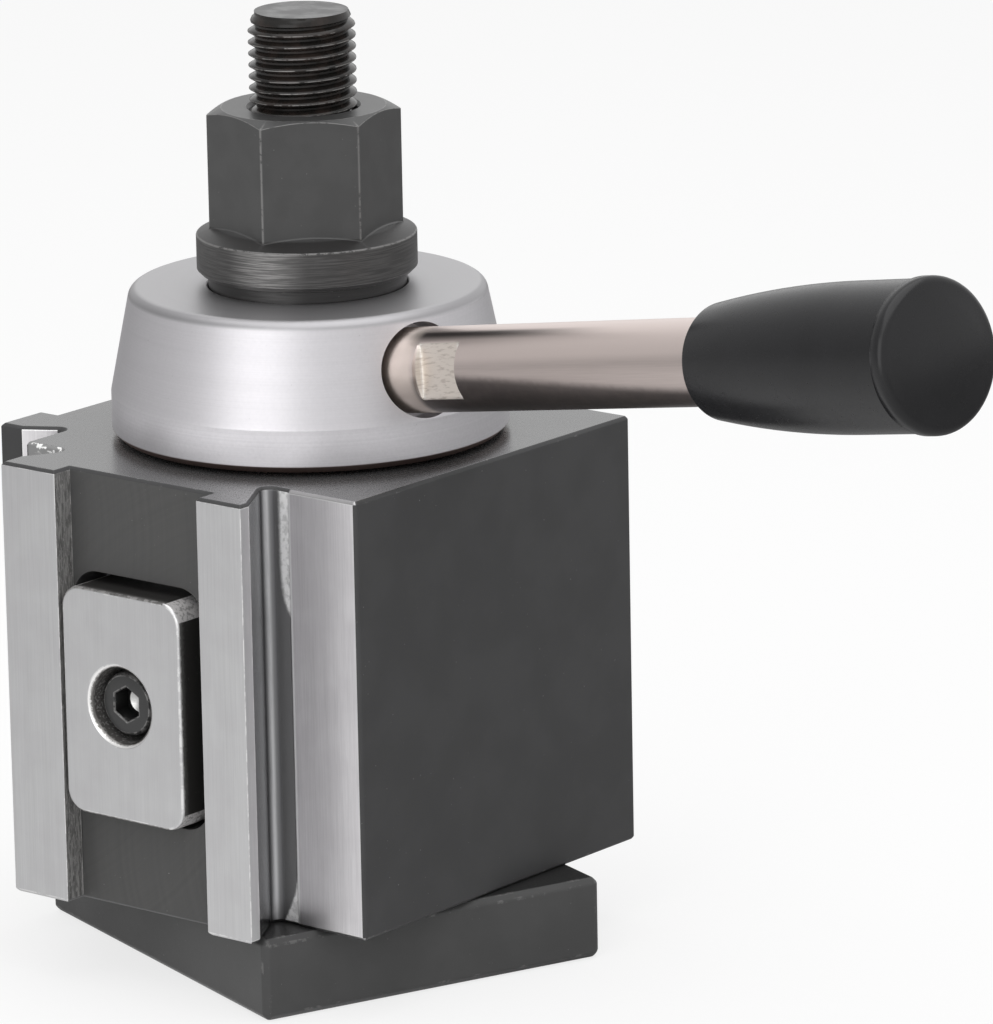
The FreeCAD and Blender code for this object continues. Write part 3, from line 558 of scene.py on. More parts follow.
def groove_steel(name, flank, dull, bright):
    """Undercut flank and its root, dull but for a painted highlight: a bright band along the root's hollow.
    """
    pen, place = start_material(name)
    x, y, _ = place.split()
    outward = x.smaller(y) * -1.0
    lines = grain(place, (7.0, 7.0, 0.12))
    streaks = grain(place, (1.5, 1.5, 0.10), 0.7)
    root = SHOULDER_FACE
    on_flank = outward.remap(root + 1.4, root + 2.0)
    # Painted highlight: a bright band along the root's hollow, broken by streaks
    band = outward.remap(root - 0.1, root + 0.3) * outward.remap(root + 1.25, root + 0.55)
    band = band * streaks.remap(0.0, 0.6, 0.6, 1.0)
    base = pen.mix(band, pen.mix(on_flank, dull, flank), bright)
    base = pen.mix(lines * 0.15, base, dull)
    return end_material(pen, base, 1.0, on_flank.remap(0.0, 1.0, 0.42, 0.20), lines, 0.12)


def relief_steel(name, colour):
    """Floor of the relief beside a root: dull, with bright chipped patches at both ends of the front one."""
    pen, place = start_material(name)
    x, y, z = place.split()
    coarse = grain(place, (2.4, 2.4, 1.6), 0.7)
    upper_length, lower_length = 17.0, 7.5
    down = ((BODY_TOP - z) / upper_length).clamped()
    upper = down ** 8.0 * 1.8 + (RELIEF_EDGE - 2.2)
    fall = 1.0 - ((z - BODY_LOW.z) / lower_length).clamped()
    lower = RELIEF_EDGE - 0.4 - fall ** 1.8 * 2.7
    edge = upper.smaller(lower) + coarse * 0.25
    patch = ((x - edge) * z.remap(20.0, 40.0, 3.0, 1.6)).clamped() * y.remap(-20.0, -24.0)
    bright = pen.mix(blotches(place, 0.7, 0.34, 0.58), (0.68, 0.68, 0.68), (0.94, 0.94, 0.94))
    metal = patch.remap(0.0, 1.0, 1.0, 0.5)
    rough = patch.remap(0.0, 1.0, 0.42, 0.5)
    return end_material(pen, pen.mix(patch, colour, bright), metal, rough, coarse * patch, 0.4, 0.05)


def chipped_steel(name):
    """Shoulder in the far corner: dull steel with small bright chips along its upper edge."""
    pen, place = start_material(name)
    chips = specks(place, 0.9, 0.24)
    shown = chips * place.split()[2].remap(BODY_TOP - 1.4, BODY_TOP - 0.4)
    base = pen.mix(shown, (0.31, 0.31, 0.31), (0.96, 0.96, 0.95))
    return end_material(pen, base, shown.remap(0.0, 1.0, 1.0, 0.3), 0.45, chips, 0.2, 0.03)


def plate_side(name, colour):
    """Sides of a lock plate: black, with grey speckles that thicken towards the ground face."""
    pen, place = start_material(name)
    x, y, _ = place.split()
    coarse = grain(place, (3.2, 3.2, 3.2), 0.75)
    ragged = x.smaller(y) * -1.0 - coarse * 1.3
    wear_and_painted_highlight = ragged.remap(PLATE_FACE - 1.9, PLATE_FACE - 0.7)
    bare = (specks(place, 0.35, 0.06) * 0.15).larger(worn_edge(place, pen.wear(), 0.8, 0.6) * 0.5)
    bare = bare.larger(wear_and_painted_highlight * coarse * 0.40)
    base = pen.mix(bare, colour, colours().bare_steel)
    return end_material(pen, base, bare, 0.42, coarse, 0.3, 0.04, IOR=BLACK_IOR)


def chamfer_steel(name, colour):
    """Chamfer round a counterbore: bright and ragged along its outer edge, darker inside."""
    pen, place = start_material(name)
    x, y, z = place.split()
    from_axis = pen.hypotenuse(x.larger(y) + LOCK_OFFSET, z - LOCK_LEVEL)
    coarse = grain(place, (3.0, 3.0, 3.0), 0.75)
    shown = (from_axis + coarse * 0.3).remap(COUNTERBORE_RADIUS + 0.30, COUNTERBORE_RADIUS + 0.55)
    base = pen.mix(shown, (0.16, 0.155, 0.15), colour)
    return end_material(pen, base, 1.0, 0.28, coarse, 0.2, 0.03)


def milled_channel(name):
    """Channel floor: blackened, with the arcs that a face mill leaves."""
    pen, place = start_material(name)
    arcs = []
    for centre, pitch in (((26.0, -33.0, 20.0), 1.1), ((-40.0, -33.0, 62.0), 0.7)):
        from_centre = pen.vector("SUBTRACT", place, centre)
        away = pen.value("VectorMath", {"operation": "LENGTH"}, from_centre, output="Value")
        arcs.append(grain(pen.join(away), (1.0 / pitch, 0.0, 0.0)))
    lines = (arcs[0] + arcs[1]) * 0.5
    bare = specks(place, 0.4, 0.03) * 0.25
    base = pen.mix(lines, (0.059, 0.059, 0.059), (0.088, 0.087, 0.085))
    base = pen.mix(blotches(place, 6.0) * 0.35, base, (0.073, 0.073, 0.073))
    base = pen.mix(bare, base, colours().bare_steel)
    rough = lines.remap(0.0, 1.0, 0.44, 0.36)
    return end_material(pen, base, bare, rough, lines, 0.12, 0.03, IOR=BLACK_IOR)


def rough_wall(name):
    """Channel walls: coarse streaks along Z, half blackened."""
    pen, place = start_material(name)
    streaks = grain(place, (2.6, 2.6, 0.40))
    chips = grain(place, (5.0, 5.0, 1.4))
    bare = streaks.remap(0.40, 0.80, 0.0, 0.5).larger(chips.remap(0.55, 0.80, 0.0, 0.7))
    base = pen.mix(streaks, (0.075, 0.074, 0.073), (0.24, 0.237, 0.232))
    base = pen.mix(bare, base, (0.58, 0.57, 0.56))
    return end_material(pen, base, bare, 0.5, streaks + chips, 0.5, 0.06)


def turned_steel(name, colour):
    """Hub: satin turned, with lines round its axis, painted shade on its top rounding and top face, and
    painted shade on its foot.
    """
    pen, place = start_material(name)
    x, y, z = place.split()
    ringed = pen.join(z + pen.hypotenuse(x, y), pen.math("ARCTAN2", y, x) * 0.35)
    lines = grain(ringed, (5.5, 1.0, 1.0), 0.75) * 0.65 + grain(ringed, (1.1, 0.6, 1.0)) * 0.35
    lines = lines * 0.7 + grain(place, (2.2, 2.2, 2.2)) * 0.3
    top, foot = HUB_HIGH.z, HUB_FOOT + HUB_FOOT_CHAMFER
    base = pen.mix(lines, tone(colour, 0.86), tone(colour, 1.14))
    base = pen.mix(z.remap(HUB_BAND_TOP - 1.2, HUB_BAND_TOP + 1.0) * 0.5, base, tone(colour, 0.78))
    # Painted shade: the top rounding and the top face are darker
    base = pen.mix(z.remap(top - 1.35, top - 0.75) * 0.92, base, (0.33, 0.325, 0.335))
    base = pen.mix(z.remap(top - 0.22, top - 0.03) * 0.9, base, (0.47, 0.465, 0.475))
    # Painted shade: darker brownish on the foot chamfer and below it, where the hub faces the black body
    base = pen.mix(z.remap(foot + 0.15, foot - 0.15), base, (0.30, 0.22, 0.20))
    base = pen.mix(specks(place, 0.5, 0.02) * 0.25, base, (0.25, 0.24, 0.24))
    height = lines * z.remap(HUB_BAND_TOP + 0.4, HUB_BAND_TOP - 0.4, 0.35, 1.0)
    return end_material(pen, base, 1.0, lines.remap(0.0, 1.0, 0.46, 0.40), height, 0.22)


def plated_rod(name, colour):
    """Dull nickel with a pinkish tint, a painted highlight on its upper side, painted dark reflections along
    its top and on its mottled underside, and a painted reflection of the hub near the hub.
    """
    pen, place = start_material(name)
    line = handle_place()
    from_line = pen.vector("SUBTRACT", place, line.translation / MM)

    def along(*axis):
        """How far a point is along one of the handle's own axes."""
        return from_line.dot((line.to_3x3() @ Vector(axis)).normalized())

    height, distance = along(0, 1, 0), along(0, 0, 1)
    turn = pen.math("ARCTAN2", height, along(-1, 0, 0))
    stretched = pen.join(distance, height * 3.0)
    drawn = grain(stretched, (0.12, 2.0, 1.0))
    ticks = grain(stretched, (0.55, 0.9, 1.0), 0.55)
    border = distance.remap(38.0, 83.0, -0.2, -3.0, smooth=False)
    # Painted dark reflection on the underside, below a border that drops towards the grip
    painted_dark_underside = (height - border).remap(0.6, -0.8)
    # Painted dark reflection: a line along the upper side, fading towards the grip
    painted_dark_reflection = turn.remap(0.84, 1.06) * turn.remap(1.24, 1.10) * distance.remap(68.0, 40.0, 0.0, 0.95)
    base = pen.mix(drawn, tone(colour, 0.88), colour)
    # Painted highlight: the upper side is lighter
    base = pen.mix(turn.remap(0.12, 0.42), base, tone(colour, 1.32))
    base = pen.mix(painted_dark_reflection, base, (0.07, 0.058, 0.055))
    # Painted dark reflection on the underside, with mottled lighter patches in it
    base = pen.mix(painted_dark_underside * 0.80, base, (0.075, 0.064, 0.062))
    base = pen.mix(painted_dark_underside * blotches(place, 1.6, 0.42, 0.62) * 0.5, base, (0.20, 0.17, 0.16))
    # Painted reflection of the hub: lighter beige near the hub
    base = pen.mix(distance.remap(29.8, 28.2, 0.0, 0.75), base, (0.84, 0.74, 0.66))
    flat = pen.wear().remap(0.2, 0.4)
    ridge = pen.wear().remap(0.7, 0.95)
    base = pen.mix(flat, base, pen.mix(ticks.remap(0.20, 0.50), (0.58, 0.52, 0.47), (0.74, 0.68, 0.62)))
    base = pen.mix(ridge * ticks, base, (0.97, 0.95, 0.92))
    relief = drawn * 0.05 + ticks * flat
    return end_material(pen, base, 1.0, flat.remap(0.0, 1.0, 0.36, 0.45), relief, 0.6, 0.05)


def satin_grip(name, colour):
    """Satin black moulding with a faint orange peel."""
    pen, place = start_material(name)
    peel = grain(place, (1.4, 1.4, 1.4))
    base = pen.mix(blotches(place, 8.0) * 0.6, colour, tone(colour, 1.35))
    return end_material(pen, base, 0.0, peel.remap(0.0, 1.0, 0.23, 0.28), peel, 0.03, IOR=1.40)


def turned_black(name, colour, worn=0.5, bright=0.25, streaks=0.0, below=0.0):
    """Blackened steel with softly worn edges. Below a level, fine turned rings show through, and bare streaks
    on one side make a painted highlight.
    """
    pen, place = start_material(name)
    x, y, z = place.split()
    angle = pen.math("ARCTAN2", y, x)
    rings = grain(pen.join(z, angle * 2.2), (6.0, 1.0, 1.0))
    turned = z.remap(below + 0.1, below - 0.1)
    # Painted highlight: bare turned streaks gathered round one side of the part
    wear_and_painted_highlight = pen.math("ABSOLUTE", angle + 1.26).remap(0.04, 0.42, 1.0, 0.20)
    wear_and_painted_highlight = wear_and_painted_highlight * z.remap(below - 0.9, below - 1.2) * rings.remap(0.30, 0.80, streaks * 0.3, streaks)
    bare = wear_and_painted_highlight.larger(worn_edge(place, pen.wear(), 0.9, worn) * bright)
    bare = bare.larger(specks(place, 0.32, 0.02) * 0.2)
    base = pen.mix(blotches(place, 3.5) * 0.5, colour, tone(colour, 1.3))
    base = pen.mix(turned, base, (0.015, 0.014, 0.014))
    base = pen.mix(bare, base, colours().bare_steel)
    rough = turned.remap(0.0, 1.0, 0.34, 0.42)
    return end_material(pen, base, bare, rough, rings * turned, 0.3, 0.03, IOR=1.5)


def stud_steel(name, colour):
    """Black oxide thread: crests worn to thin lines, with brownish tints between them."""
    pen, place = start_material(name)
    tints = blotches(place, 2.2, 0.4, 0.7)
    bare = worn_edge(place, pen.wear().remap(0.35, 0.95), 1.6, 0.62) * 0.65
    base = pen.mix(tints * 0.55, colour, (0.040, 0.028, 0.024))
    base = pen.mix(bare, base, (0.40, 0.39, 0.38))
    return end_material(pen, base, bare, 0.19, tints, 0.05, IOR=1.35)


def stud_face(name):
    """Stud's top face: blackened, brushed one way, with a light bloom."""
    pen, place = start_material(name)
    lines = grain(place, (0.5, 4.0, 1.0))
    bare = lines * blotches(place, 3.0) * 0.75
    base = pen.mix(bare, (0.045, 0.045, 0.046), (0.34, 0.34, 0.34))
    return end_material(pen, base, bare, 0.38, lines, 0.15, IOR=1.5)


def inner_turned(name, colour, roughness=0.3):
    """Clean turned steel or bronze, for pieces inside."""
    pen, place = start_material(name)
    rings = grain(place, (0.4, 0.4, 5.0))
    base = pen.mix(rings, tone(colour, 0.8), colour)
    rough = rings.remap(0.0, 1.0, roughness + 0.05, roughness - 0.04)
    return end_material(pen, base, 1.0, rough, rings, 0.1)


# Pieces

BLACK, GROUND, SHOULDER, MILLED, WALL, TOP, GROOVE, RELIEF, CHAMFER, CHIPPED = range(10)
PLATE_GROUND, PLATE_SIDE, PLATE_CORNER, PLATE_BORE, PLATE_CHAMFER = range(5)


def body_zone(centre, normal):
    """Which finish a face of the body has, by its place and direction."""
    if normal.z > 0.99 and centre.z > BODY_TOP - 0.1:
        return TOP
    views = ((centre.x, -centre.y, normal.x, -normal.y), (centre.y, -centre.x, normal.y, -normal.x))
    for across, outward, facing_across, facing_out in views:
        if outward < SHOULDER_FACE - 0.5:
            continue
        if abs(normal.z) > 0.3:
            if facing_out < 0.5:
                return BLACK
            if abs(outward - SHOULDER_FACE) < 0.5 and across > RELIEF_EDGE:
                return CHAMFER
            if abs(outward - SHOULDER_FACE) < 0.5 and across < -RELIEF_EDGE and normal.y < -0.5 < normal.z:
                return CHIPPED
            return GROUND if normal.z < 0 and outward > DOVETAIL_FACE - 0.5 else BLACK
        if outward > DOVETAIL_FACE - 0.1 and facing_out > 0.99:
            return GROUND
        if outward > NEAR_FLAT_FOOT and facing_across > 0.99 and across > NEAR_FLAT_REACH:
            return GROUND
        if outward < FLANK_TOP and abs(facing_out + 0.5) < 0.05:
            return GROOVE if facing_across > 0 else SHOULDER
        if abs(outward - SHOULDER_FACE) < 0.05 and facing_out > 0.99:
            if across > 0:
                return SHOULDER
            return CHIPPED if normal.y < -0.5 else RELIEF
        if outward < SHOULDER_FACE and (facing_out > 0.99 or abs(across) < 20.0 and facing_across < -0.5):
            return RELIEF
        if outward < SHOULDER_FACE + 1.5 and abs(across) < ROOT_REACH:
            return GROOVE
        if abs(outward - CHANNEL_FLOOR) < 0.05 and facing_out > 0.99:
            return MILLED
        if outward > CHANNEL_FLOOR and abs(facing_across) > 0.99 and abs(across) < CHANNEL_REACH:
            return WALL
    return BLACK


class ToolPostOperator:
    """Shared settings of the operators below."""
    bl_options = {"REGISTER", "UNDO"}


class TOOLPOST_OT_body(ToolPostOperator, Operator):
    """Body with ground dovetails, milled channels and blackened faces"""
    bl_idname = "toolpost.body"
    bl_label = "Post body"

    def execute(self, context):
        black, ground, shoulder = colours().black_oxide, colours().ground_steel, colours().shoulder_steel
        materials = [
            black_oxide("Blackened body", black, worn=0.3, bright=0.2),
            ground_steel("Ground dovetail", ground, worn=0.6),
            ground_steel("Ground shoulder", shoulder, (5.0, 5.0, 0.16), 0.14, worn=0.8, burr=RELIEF_EDGE),
            milled_channel("Milled channel"),
            rough_wall("Rough channel wall"),
            black_oxide("Blackened top", black, worn=0.3, bright=0.2, roughness=0.26, ior=2.1),
            # The groove's last colour is the painted highlight along its root
            groove_steel("Dovetail groove", (0.66, 0.66, 0.67), (0.20, 0.20, 0.205), (0.57, 0.57, 0.58)),
            relief_steel("Root relief", (0.26, 0.26, 0.262)),
            ground_steel("Shoulder chamfer", (0.36, 0.355, 0.36)),
            chipped_steel("Chipped shoulder")]
        bm = bevelled_copy("post_body", sizes().edge_rounding, body_zone)
        finish_mesh("body_dressed", bm, "post", materials, "post_body")
        return {"FINISHED"}


class TOOLPOST_OT_t_nut(ToolPostOperator, Operator):
    """T-nut with rounded, worn edges"""
    bl_idname = "toolpost.t_nut"
    bl_label = "T-nut"

    def execute(self, context):
        # The top face gets a darker copy of the finish: painted shade where the body above shades it
        bm = bevelled_copy("t_nut", sizes().edge_rounding * 2, lambda centre, normal: int(normal.z > 0.9))
        materials = [black_oxide("Blackened T-nut", (0.063, 0.063, 0.063), 0.42, 0.12, 0.40),
                     black_oxide("T-nut top painted shade", (0.026, 0.026, 0.026), 0.42, 0.12, 0.34)]
        finish_mesh("t_nut_dressed", bm, "base", materials, "t_nut")
        return {"FINISHED"}


class TOOLPOST_OT_stud(ToolPostOperator, Operator):
    """Centre stud with a real helical thread at its top"""
    bl_idname = "toolpost.stud"
    bl_label = "Centre stud"

    def execute(self, context):
        pitch = sizes().thread_pitch / MM
        depth = sizes().thread_depth / MM
        start = STUD_TOP - sizes().thread_length / MM
        crest_half = pitch / 16
        flank_foot = crest_half + depth / tan(radians(60))
        flank_middle = (flank_foot + crest_half) / 2
        phases = ((-pitch / 2, depth, 0.0), (-flank_foot, depth, 0.0), (-flank_middle, depth * 0.5, 0.0),
                  (-crest_half, 0.03, 0.3), (0.0, 0.0, 1.0), (crest_half, 0.03, 0.3),
                  (flank_middle, depth * 0.5, 0.0), (flank_foot, depth, 0.0))
        segments = 112
        rows = (int((STUD_TOP - start) / pitch) + 3) * len(phases)
        top_radius, top_slope, foot_chamfer = 6.1, 0.44, 0.95
        bm = bmesh.new()
        wear_layer = bm.verts.layers.float.new("wear")

        def vertex(column, row):
            turn, step = divmod(row, len(phases))
            offset, drop, wear = phases[step]
            height = start - pitch + turn * pitch + offset + pitch * column / segments
            if start < height < STUD_TOP:
                limit = top_radius + (STUD_TOP - height) * top_slope
                radius = min(STUD_RADIUS - drop, limit)
                wear = wear if radius < limit else 0.0
            else:
                height, radius, wear = min(max(height, start), STUD_TOP), top_radius, 0.0
            vert = bm.verts.new(at(radius, tau * column / segments, height))
            vert[wear_layer] = wear
            return vert

        columns = [[vertex(column, row) for row in range(rows)] for column in range(segments)]
        for column in range(segments):
            # The last column meets the first one a full turn higher
            skip = len(phases) if column == segments - 1 else 0
            following = columns[(column + 1) % segments]
            for row in range(rows - 1 - skip):
                bm.faces.new((columns[column][row], following[row + skip], following[row + skip + 1],
                              columns[column][row + 1]))
        bmesh.ops.remove_doubles(bm, verts=bm.verts, dist=MERGE_DISTANCE)
        end_face = [(0, STUD_TOP), (top_radius - 0.5, STUD_TOP), (top_radius, STUD_TOP)]
        shank = [(top_radius, start), (STUD_RADIUS, start), (STUD_RADIUS, STUD_FOOT + foot_chamfer),
                 (STUD_RADIUS - foot_chamfer, STUD_FOOT), (0, STUD_FOOT)]
        for finish, outline in ((1, end_face), (0, shank)):
            rings = [[bm.verts.new(at(radius, angle, height)) for angle in even_angles(segments)]
                     for radius, height in outline]
            for low, high in zip(rings, rings[1:]):
                for column in range(segments):
                    beside = (column + 1) % segments
                    face = bm.faces.new((low[column], low[beside], high[beside], high[column]))
                    face.material_index = finish
        materials = [stud_steel("Stud steel", colours().stud_black), stud_face("Stud face")]
        finish_mesh("stud_threaded", bm, "base", materials, "centre_stud", 50.0)
        return {"FINISHED"}


class TOOLPOST_OT_sleeve(ToolPostOperator, Operator):
    """Centre sleeve, whose collar shows between the hub and the nut"""
    bl_idname = "toolpost.sleeve"
    bl_label = "Centre sleeve"

    def execute(self, context):
        bm = polar_bmesh(160, rounded_section([
            (SLEEVE_BORE, SLEEVE_FOOT), (SLEEVE_FOOT_RADIUS, SLEEVE_FOOT, 0.2),
            (SLEEVE_FOOT_RADIUS, RING_GROOVE_LOW), (RING_GROOVE_RADIUS, RING_GROOVE_LOW),
            (RING_GROOVE_RADIUS, RING_GROOVE_HIGH), (SLEEVE_FOOT_RADIUS, RING_GROOVE_HIGH),
            (SLEEVE_FOOT_RADIUS, SLEEVE_STEP), (SLEEVE_RADIUS, SLEEVE_STEP),
            (SLEEVE_RADIUS, COLLAR_SEAT + 0.1), (COLLAR_RADIUS, COLLAR_SEAT + 0.1, 0.1),
            (COLLAR_RADIUS, SLEEVE_TOP, 0.35), (SLEEVE_BORE, SLEEVE_TOP)]))
        # Its streaks share sets a faint painted highlight on one side of the collar
        material = turned_black("Blackened collar", (0.026, 0.025, 0.025), 0.4, streaks=0.12,
                                below=SLEEVE_TOP + 1)
        finish_mesh("sleeve_dressed", bm, "post", [material], "centre_sleeve")
        return {"FINISHED"}


class TOOLPOST_OT_hub(ToolPostOperator, Operator):
    """Turned hub with its cone, band, foot chamfer and rod hole"""
    bl_idname = "toolpost.hub"
    bl_label = "Handle hub"

    def execute(self, context):
        top, radius = HUB_HIGH.z, HUB_HIGH.x
        cone_shrink = (top - HUB_BAND_TOP) * tan(radians(HUB_CONE_ANGLE))
        bm = polar_bmesh(320, rounded_section([
            (HUB_BORE, HUB_LOW.z), (HUB_SPIGOT_RADIUS, HUB_LOW.z), (HUB_SPIGOT_RADIUS, HUB_FOOT),
            (radius - HUB_FOOT_CHAMFER, HUB_FOOT, 0.1), (radius, HUB_FOOT + HUB_FOOT_CHAMFER, 0.12),
            (radius, HUB_BAND_TOP, 0.3), (radius - cone_shrink, top, 1.5), (COLLAR_BORE, top, 0.3),
            (COLLAR_BORE, COLLAR_SEAT), (HUB_BORE, COLLAR_SEAT)], steps=6))
        material = turned_steel("Turned hub", colours().turned_steel)
        hub = finish_mesh("hub_dressed", bm, "cam", [material], "handle_hub")
        drill = [(0, ROD_SHOULDER), (ROD_HOLE_RADIUS, ROD_SHOULDER), (ROD_HOLE_RADIUS, 2 * radius),
                 (0, 2 * radius)]
        cut_away(hub, polar_bmesh(96, drill, handle_place()))
        return {"FINISHED"}


class TOOLPOST_OT_rod(ToolPostOperator, Operator):
    """Plated handle rod with two spanner flats"""
    bl_idname = "toolpost.rod"
    bl_label = "Handle rod"

    def execute(self, context):
        flat_start, flat_end, flat_reach = 29.7, 37.3, ROD_RADIUS - 1.35
        run_out, ridge, between = 0.35, 0.8, 0.6
        tip, tenon_radius, tenon_chamfer = 15.3, 5.0, 0.2
        rod_end = GRIP_START + 25.0

        def section(angle):
            facing = abs(cos(angle - pi + radians(FLAT_ROLL)))
            flat = min(ROD_RADIUS, flat_reach / max(facing, 0.01))
            cut = 1.0 if flat < ROD_RADIUS else 0.0
            return [(0, tip), (tenon_radius - tenon_chamfer, tip),
                    (tenon_radius, tip + tenon_chamfer), (tenon_radius, ROD_SHOULDER),
                    (ROD_RADIUS, ROD_SHOULDER),
                    (ROD_RADIUS, flat_start - run_out), (flat, flat_start, cut),
                    (flat, flat_start + ridge, cut * between), (flat, flat_end - ridge, cut * between),
                    (flat, flat_end, cut), (ROD_RADIUS, flat_end + run_out), (ROD_RADIUS, rod_end),
                    (0, rod_end)]

        bm = polar_bmesh(144, section, handle_place())
        material = plated_rod("Plated rod", colours().nickel)
        finish_mesh("rod_dressed", bm, "cam", [material], "handle_rod", 25.0)
        return {"FINISHED"}


class TOOLPOST_OT_grip(ToolPostOperator, Operator):
    """Barrel grip with a domed end"""
    bl_idname = "toolpost.grip"
    bl_label = "Handle grip"

    def execute(self, context):
        neck, full, swell_length, length = 7.3, 9.3, 25.0, 38.4
        cap, cap_length, cap_rim, dome = 9.6, 2.2, 1.1, 0.8
        swell_end, end = GRIP_START + swell_length, GRIP_START + length
        barrel = (swell_length ** 2 + (full - neck) ** 2) / (2 * (full - neck))
        bore = ROD_RADIUS + ROOM
        side = []
        for step in range(25):
            height = GRIP_START + 0.5 + (swell_length - 0.5) * step / 24
            side.append((full - barrel + sqrt(barrel ** 2 - (swell_end - height) ** 2), height, 0.0))
        mouth = rounded_section([(bore, GRIP_START, 0.25), (side[0][0], GRIP_START, 0.45),
                                 (side[0][0], swell_end)])
        cap_start = end - cap_length
        step_up = [(full, cap_start), (cap - 0.1, cap_start), (cap, cap_start + 0.1)]
        rim = [(cap - cap_rim * (1 - cos(turn)), end - cap_rim * (1 - sin(turn)), 0.0)
               for turn in (radians(angle) for angle in range(0, 91, 10))]
        face = cap - cap_rim
        sphere = (face ** 2 + dome ** 2) / (2 * dome)
        crown = [(radius, end + dome - sphere + sqrt(sphere ** 2 - radius ** 2), 0.0)
                 for radius in (face * (1 - share) for share in (0.15, 0.3, 0.5, 0.7, 0.85, 1.0))]
        inside = [(0.0, swell_end + 0.1), (bore, swell_end + 0.1)]
        section = mouth[:-1] + side[1:] + step_up + rim + crown + inside
        material = satin_grip("Satin grip", colours().grip_black)
        bm = polar_bmesh(200, section, handle_place())
        finish_mesh("grip_dressed", bm, "cam", [material], "handle_grip", 50.0)
        return {"FINISHED"}


class TOOLPOST_OT_nut(ToolPostOperator, Operator):
    """Flanged clamp nut with rounded hexagon corners"""
    bl_idname = "toolpost.nut"
    bl_label = "Clamp nut"

    def execute(self, context):
        rounding = sizes().nut_edge_rounding / MM
        flat = NUT_ACROSS_FLATS / 2
        arc_centre = (flat - rounding) / cos(radians(30))
        arc_reach = atan2(rounding / 2, arc_centre + rounding * cos(radians(30)))
        bore, mouth = STUD_RADIUS + ROOM, STUD_RADIUS + 0.5
        rim = SLEEVE_TOP + NUT_FLANGE_HEIGHT
        top_radius = 10.7
        top_slope, flange_slope = tan(radians(NUT_TOP_ANGLE)), tan(radians(NUT_FLANGE_ANGLE))

        def hexagon(angle):
            """Distance to the hexagon's side, and how close to a corner it is."""
            from_corner = (angle - radians(NUT_TURN) + pi / 6) % (pi / 3) - pi / 6
            if abs(from_corner) < arc_reach:
                sideways = arc_centre * sin(from_corner)
                reach = arc_centre * cos(from_corner) + sqrt(rounding ** 2 - sideways ** 2)
                return reach, 1.0 - abs(from_corner) / arc_reach
            return flat / cos(pi / 6 - abs(from_corner)), 0.0

        def section(angle):
            reach, corner = hexagon(angle)
            foot = rim + (NUT_FLANGE_RADIUS - reach) * flange_slope
            shoulder = NUT_TOP - (reach - top_radius) * top_slope
            worn = []
            for radius, height, *wear in rounded_section([
                    (bore, SLEEVE_TOP + 0.5), (mouth, SLEEVE_TOP),
                    (NUT_FLANGE_RADIUS - 0.6, SLEEVE_TOP, 0.1), (NUT_FLANGE_RADIUS, SLEEVE_TOP + 0.6, 0.1),
                    (NUT_FLANGE_RADIUS, rim, 0.35), (reach, foot, 0.3), (reach, shoulder, 0.12),
                    (top_radius, NUT_TOP, 0.35), (mouth, NUT_TOP, 0.1), (bore, NUT_TOP - 0.5)]):
                wear = wear[0] if wear else 0.0
                if foot + 0.2 < height < shoulder + 0.05 and radius > flat - 0.1:
                    wear = max(wear, corner)
                elif foot - 0.1 < height < foot + 0.5:
                    wear = 0.0
                worn.append((radius, height, wear))
            return worn

        angles = []
        gap = pi / 3 - 2 * arc_reach
        for corner in range(6):
            base = radians(NUT_TURN + 60 * corner)
            angles += [base + share * arc_reach for share in (-1.0, -0.6, -0.3, 0.0, 0.3, 0.6, 1.0)]
            angles += [base + arc_reach + gap * step / 16 for step in range(1, 16)]
        # Its streaks share sets the painted highlight on one side of the flange
        material = turned_black("Blackened nut", colours().nut_black, 0.72, 0.26, 0.50, rim + 1.0)
        finish_mesh("nut_dressed", polar_bmesh(angles, section), "nut", [material],
                    "clamp_nut", 28.0)
        return {"FINISHED"}


def lock_place(lock):
    """Matrix from a lock's own axis, along local Z, to the row's frame."""
    if lock == "front":
        offset, turn = Vector((-LOCK_OFFSET, 0, LOCK_LEVEL)), Matrix.Rotation(radians(90), 4, "X")
    else:
        offset, turn = Vector((0, -LOCK_OFFSET, LOCK_LEVEL)), Matrix.Rotation(radians(-90), 4, "Y")
    return Matrix.Translation(offset * MM) @ turn


def plate_zone(centre, normal):
    """Which finish a face of a lock plate has, by its place and direction."""
    front = centre.y < centre.x
    across = centre.x if front else centre.y
    facing_across, facing_out = (normal.x, -normal.y) if front else (normal.y, -normal.x)
    from_axis = hypot(across + LOCK_OFFSET, centre.z - LOCK_LEVEL)
    if from_axis < COUNTERBORE_RADIUS + 0.6 and facing_out < 0.95:
        return PLATE_CHAMFER if facing_out > 0.3 else PLATE_BORE
    if facing_out > 0.95:
        return PLATE_GROUND
    if facing_out > 0.3:
        return PLATE_GROUND if facing_across > 0.1 else PLATE_SIDE
    return PLATE_SIDE if max(abs(facing_across), abs(normal.z)) > 0.985 else PLATE_CORNER


class TOOLPOST_OT_plates(ToolPostOperator, Operator):
    """Lock plates, ground along Z, with rounded edges, rough corners and black sides"""
    bl_idname = "toolpost.plates"
    bl_label = "Lock plates"

    def execute(self, context):
        materials = [ground_steel("Ground plate", colours().ground_steel, (7.0, 7.0, 0.09), 0.07, worn=0.5),
                     plate_side("Plate side", (0.028, 0.027, 0.026)),
                     chipped_corner("Plate corner", (0.78, 0.76, 0.76)),
                     black_oxide("Counterbore", (0.075, 0.072, 0.07), roughness=0.4, flecks=0.22),
                     chamfer_steel("Counterbore chamfer", (0.88, 0.87, 0.86))]
        for lock in ("front", "side"):
            bm = bevelled_copy(f"{lock}_lock_plate", sizes().edge_rounding * 1.5, plate_zone, 10.0)
            finish_mesh(f"{lock}_plate_dressed", bm, f"{lock}_lock", materials,
                        f"{lock}_lock_plate")
        return {"FINISHED"}


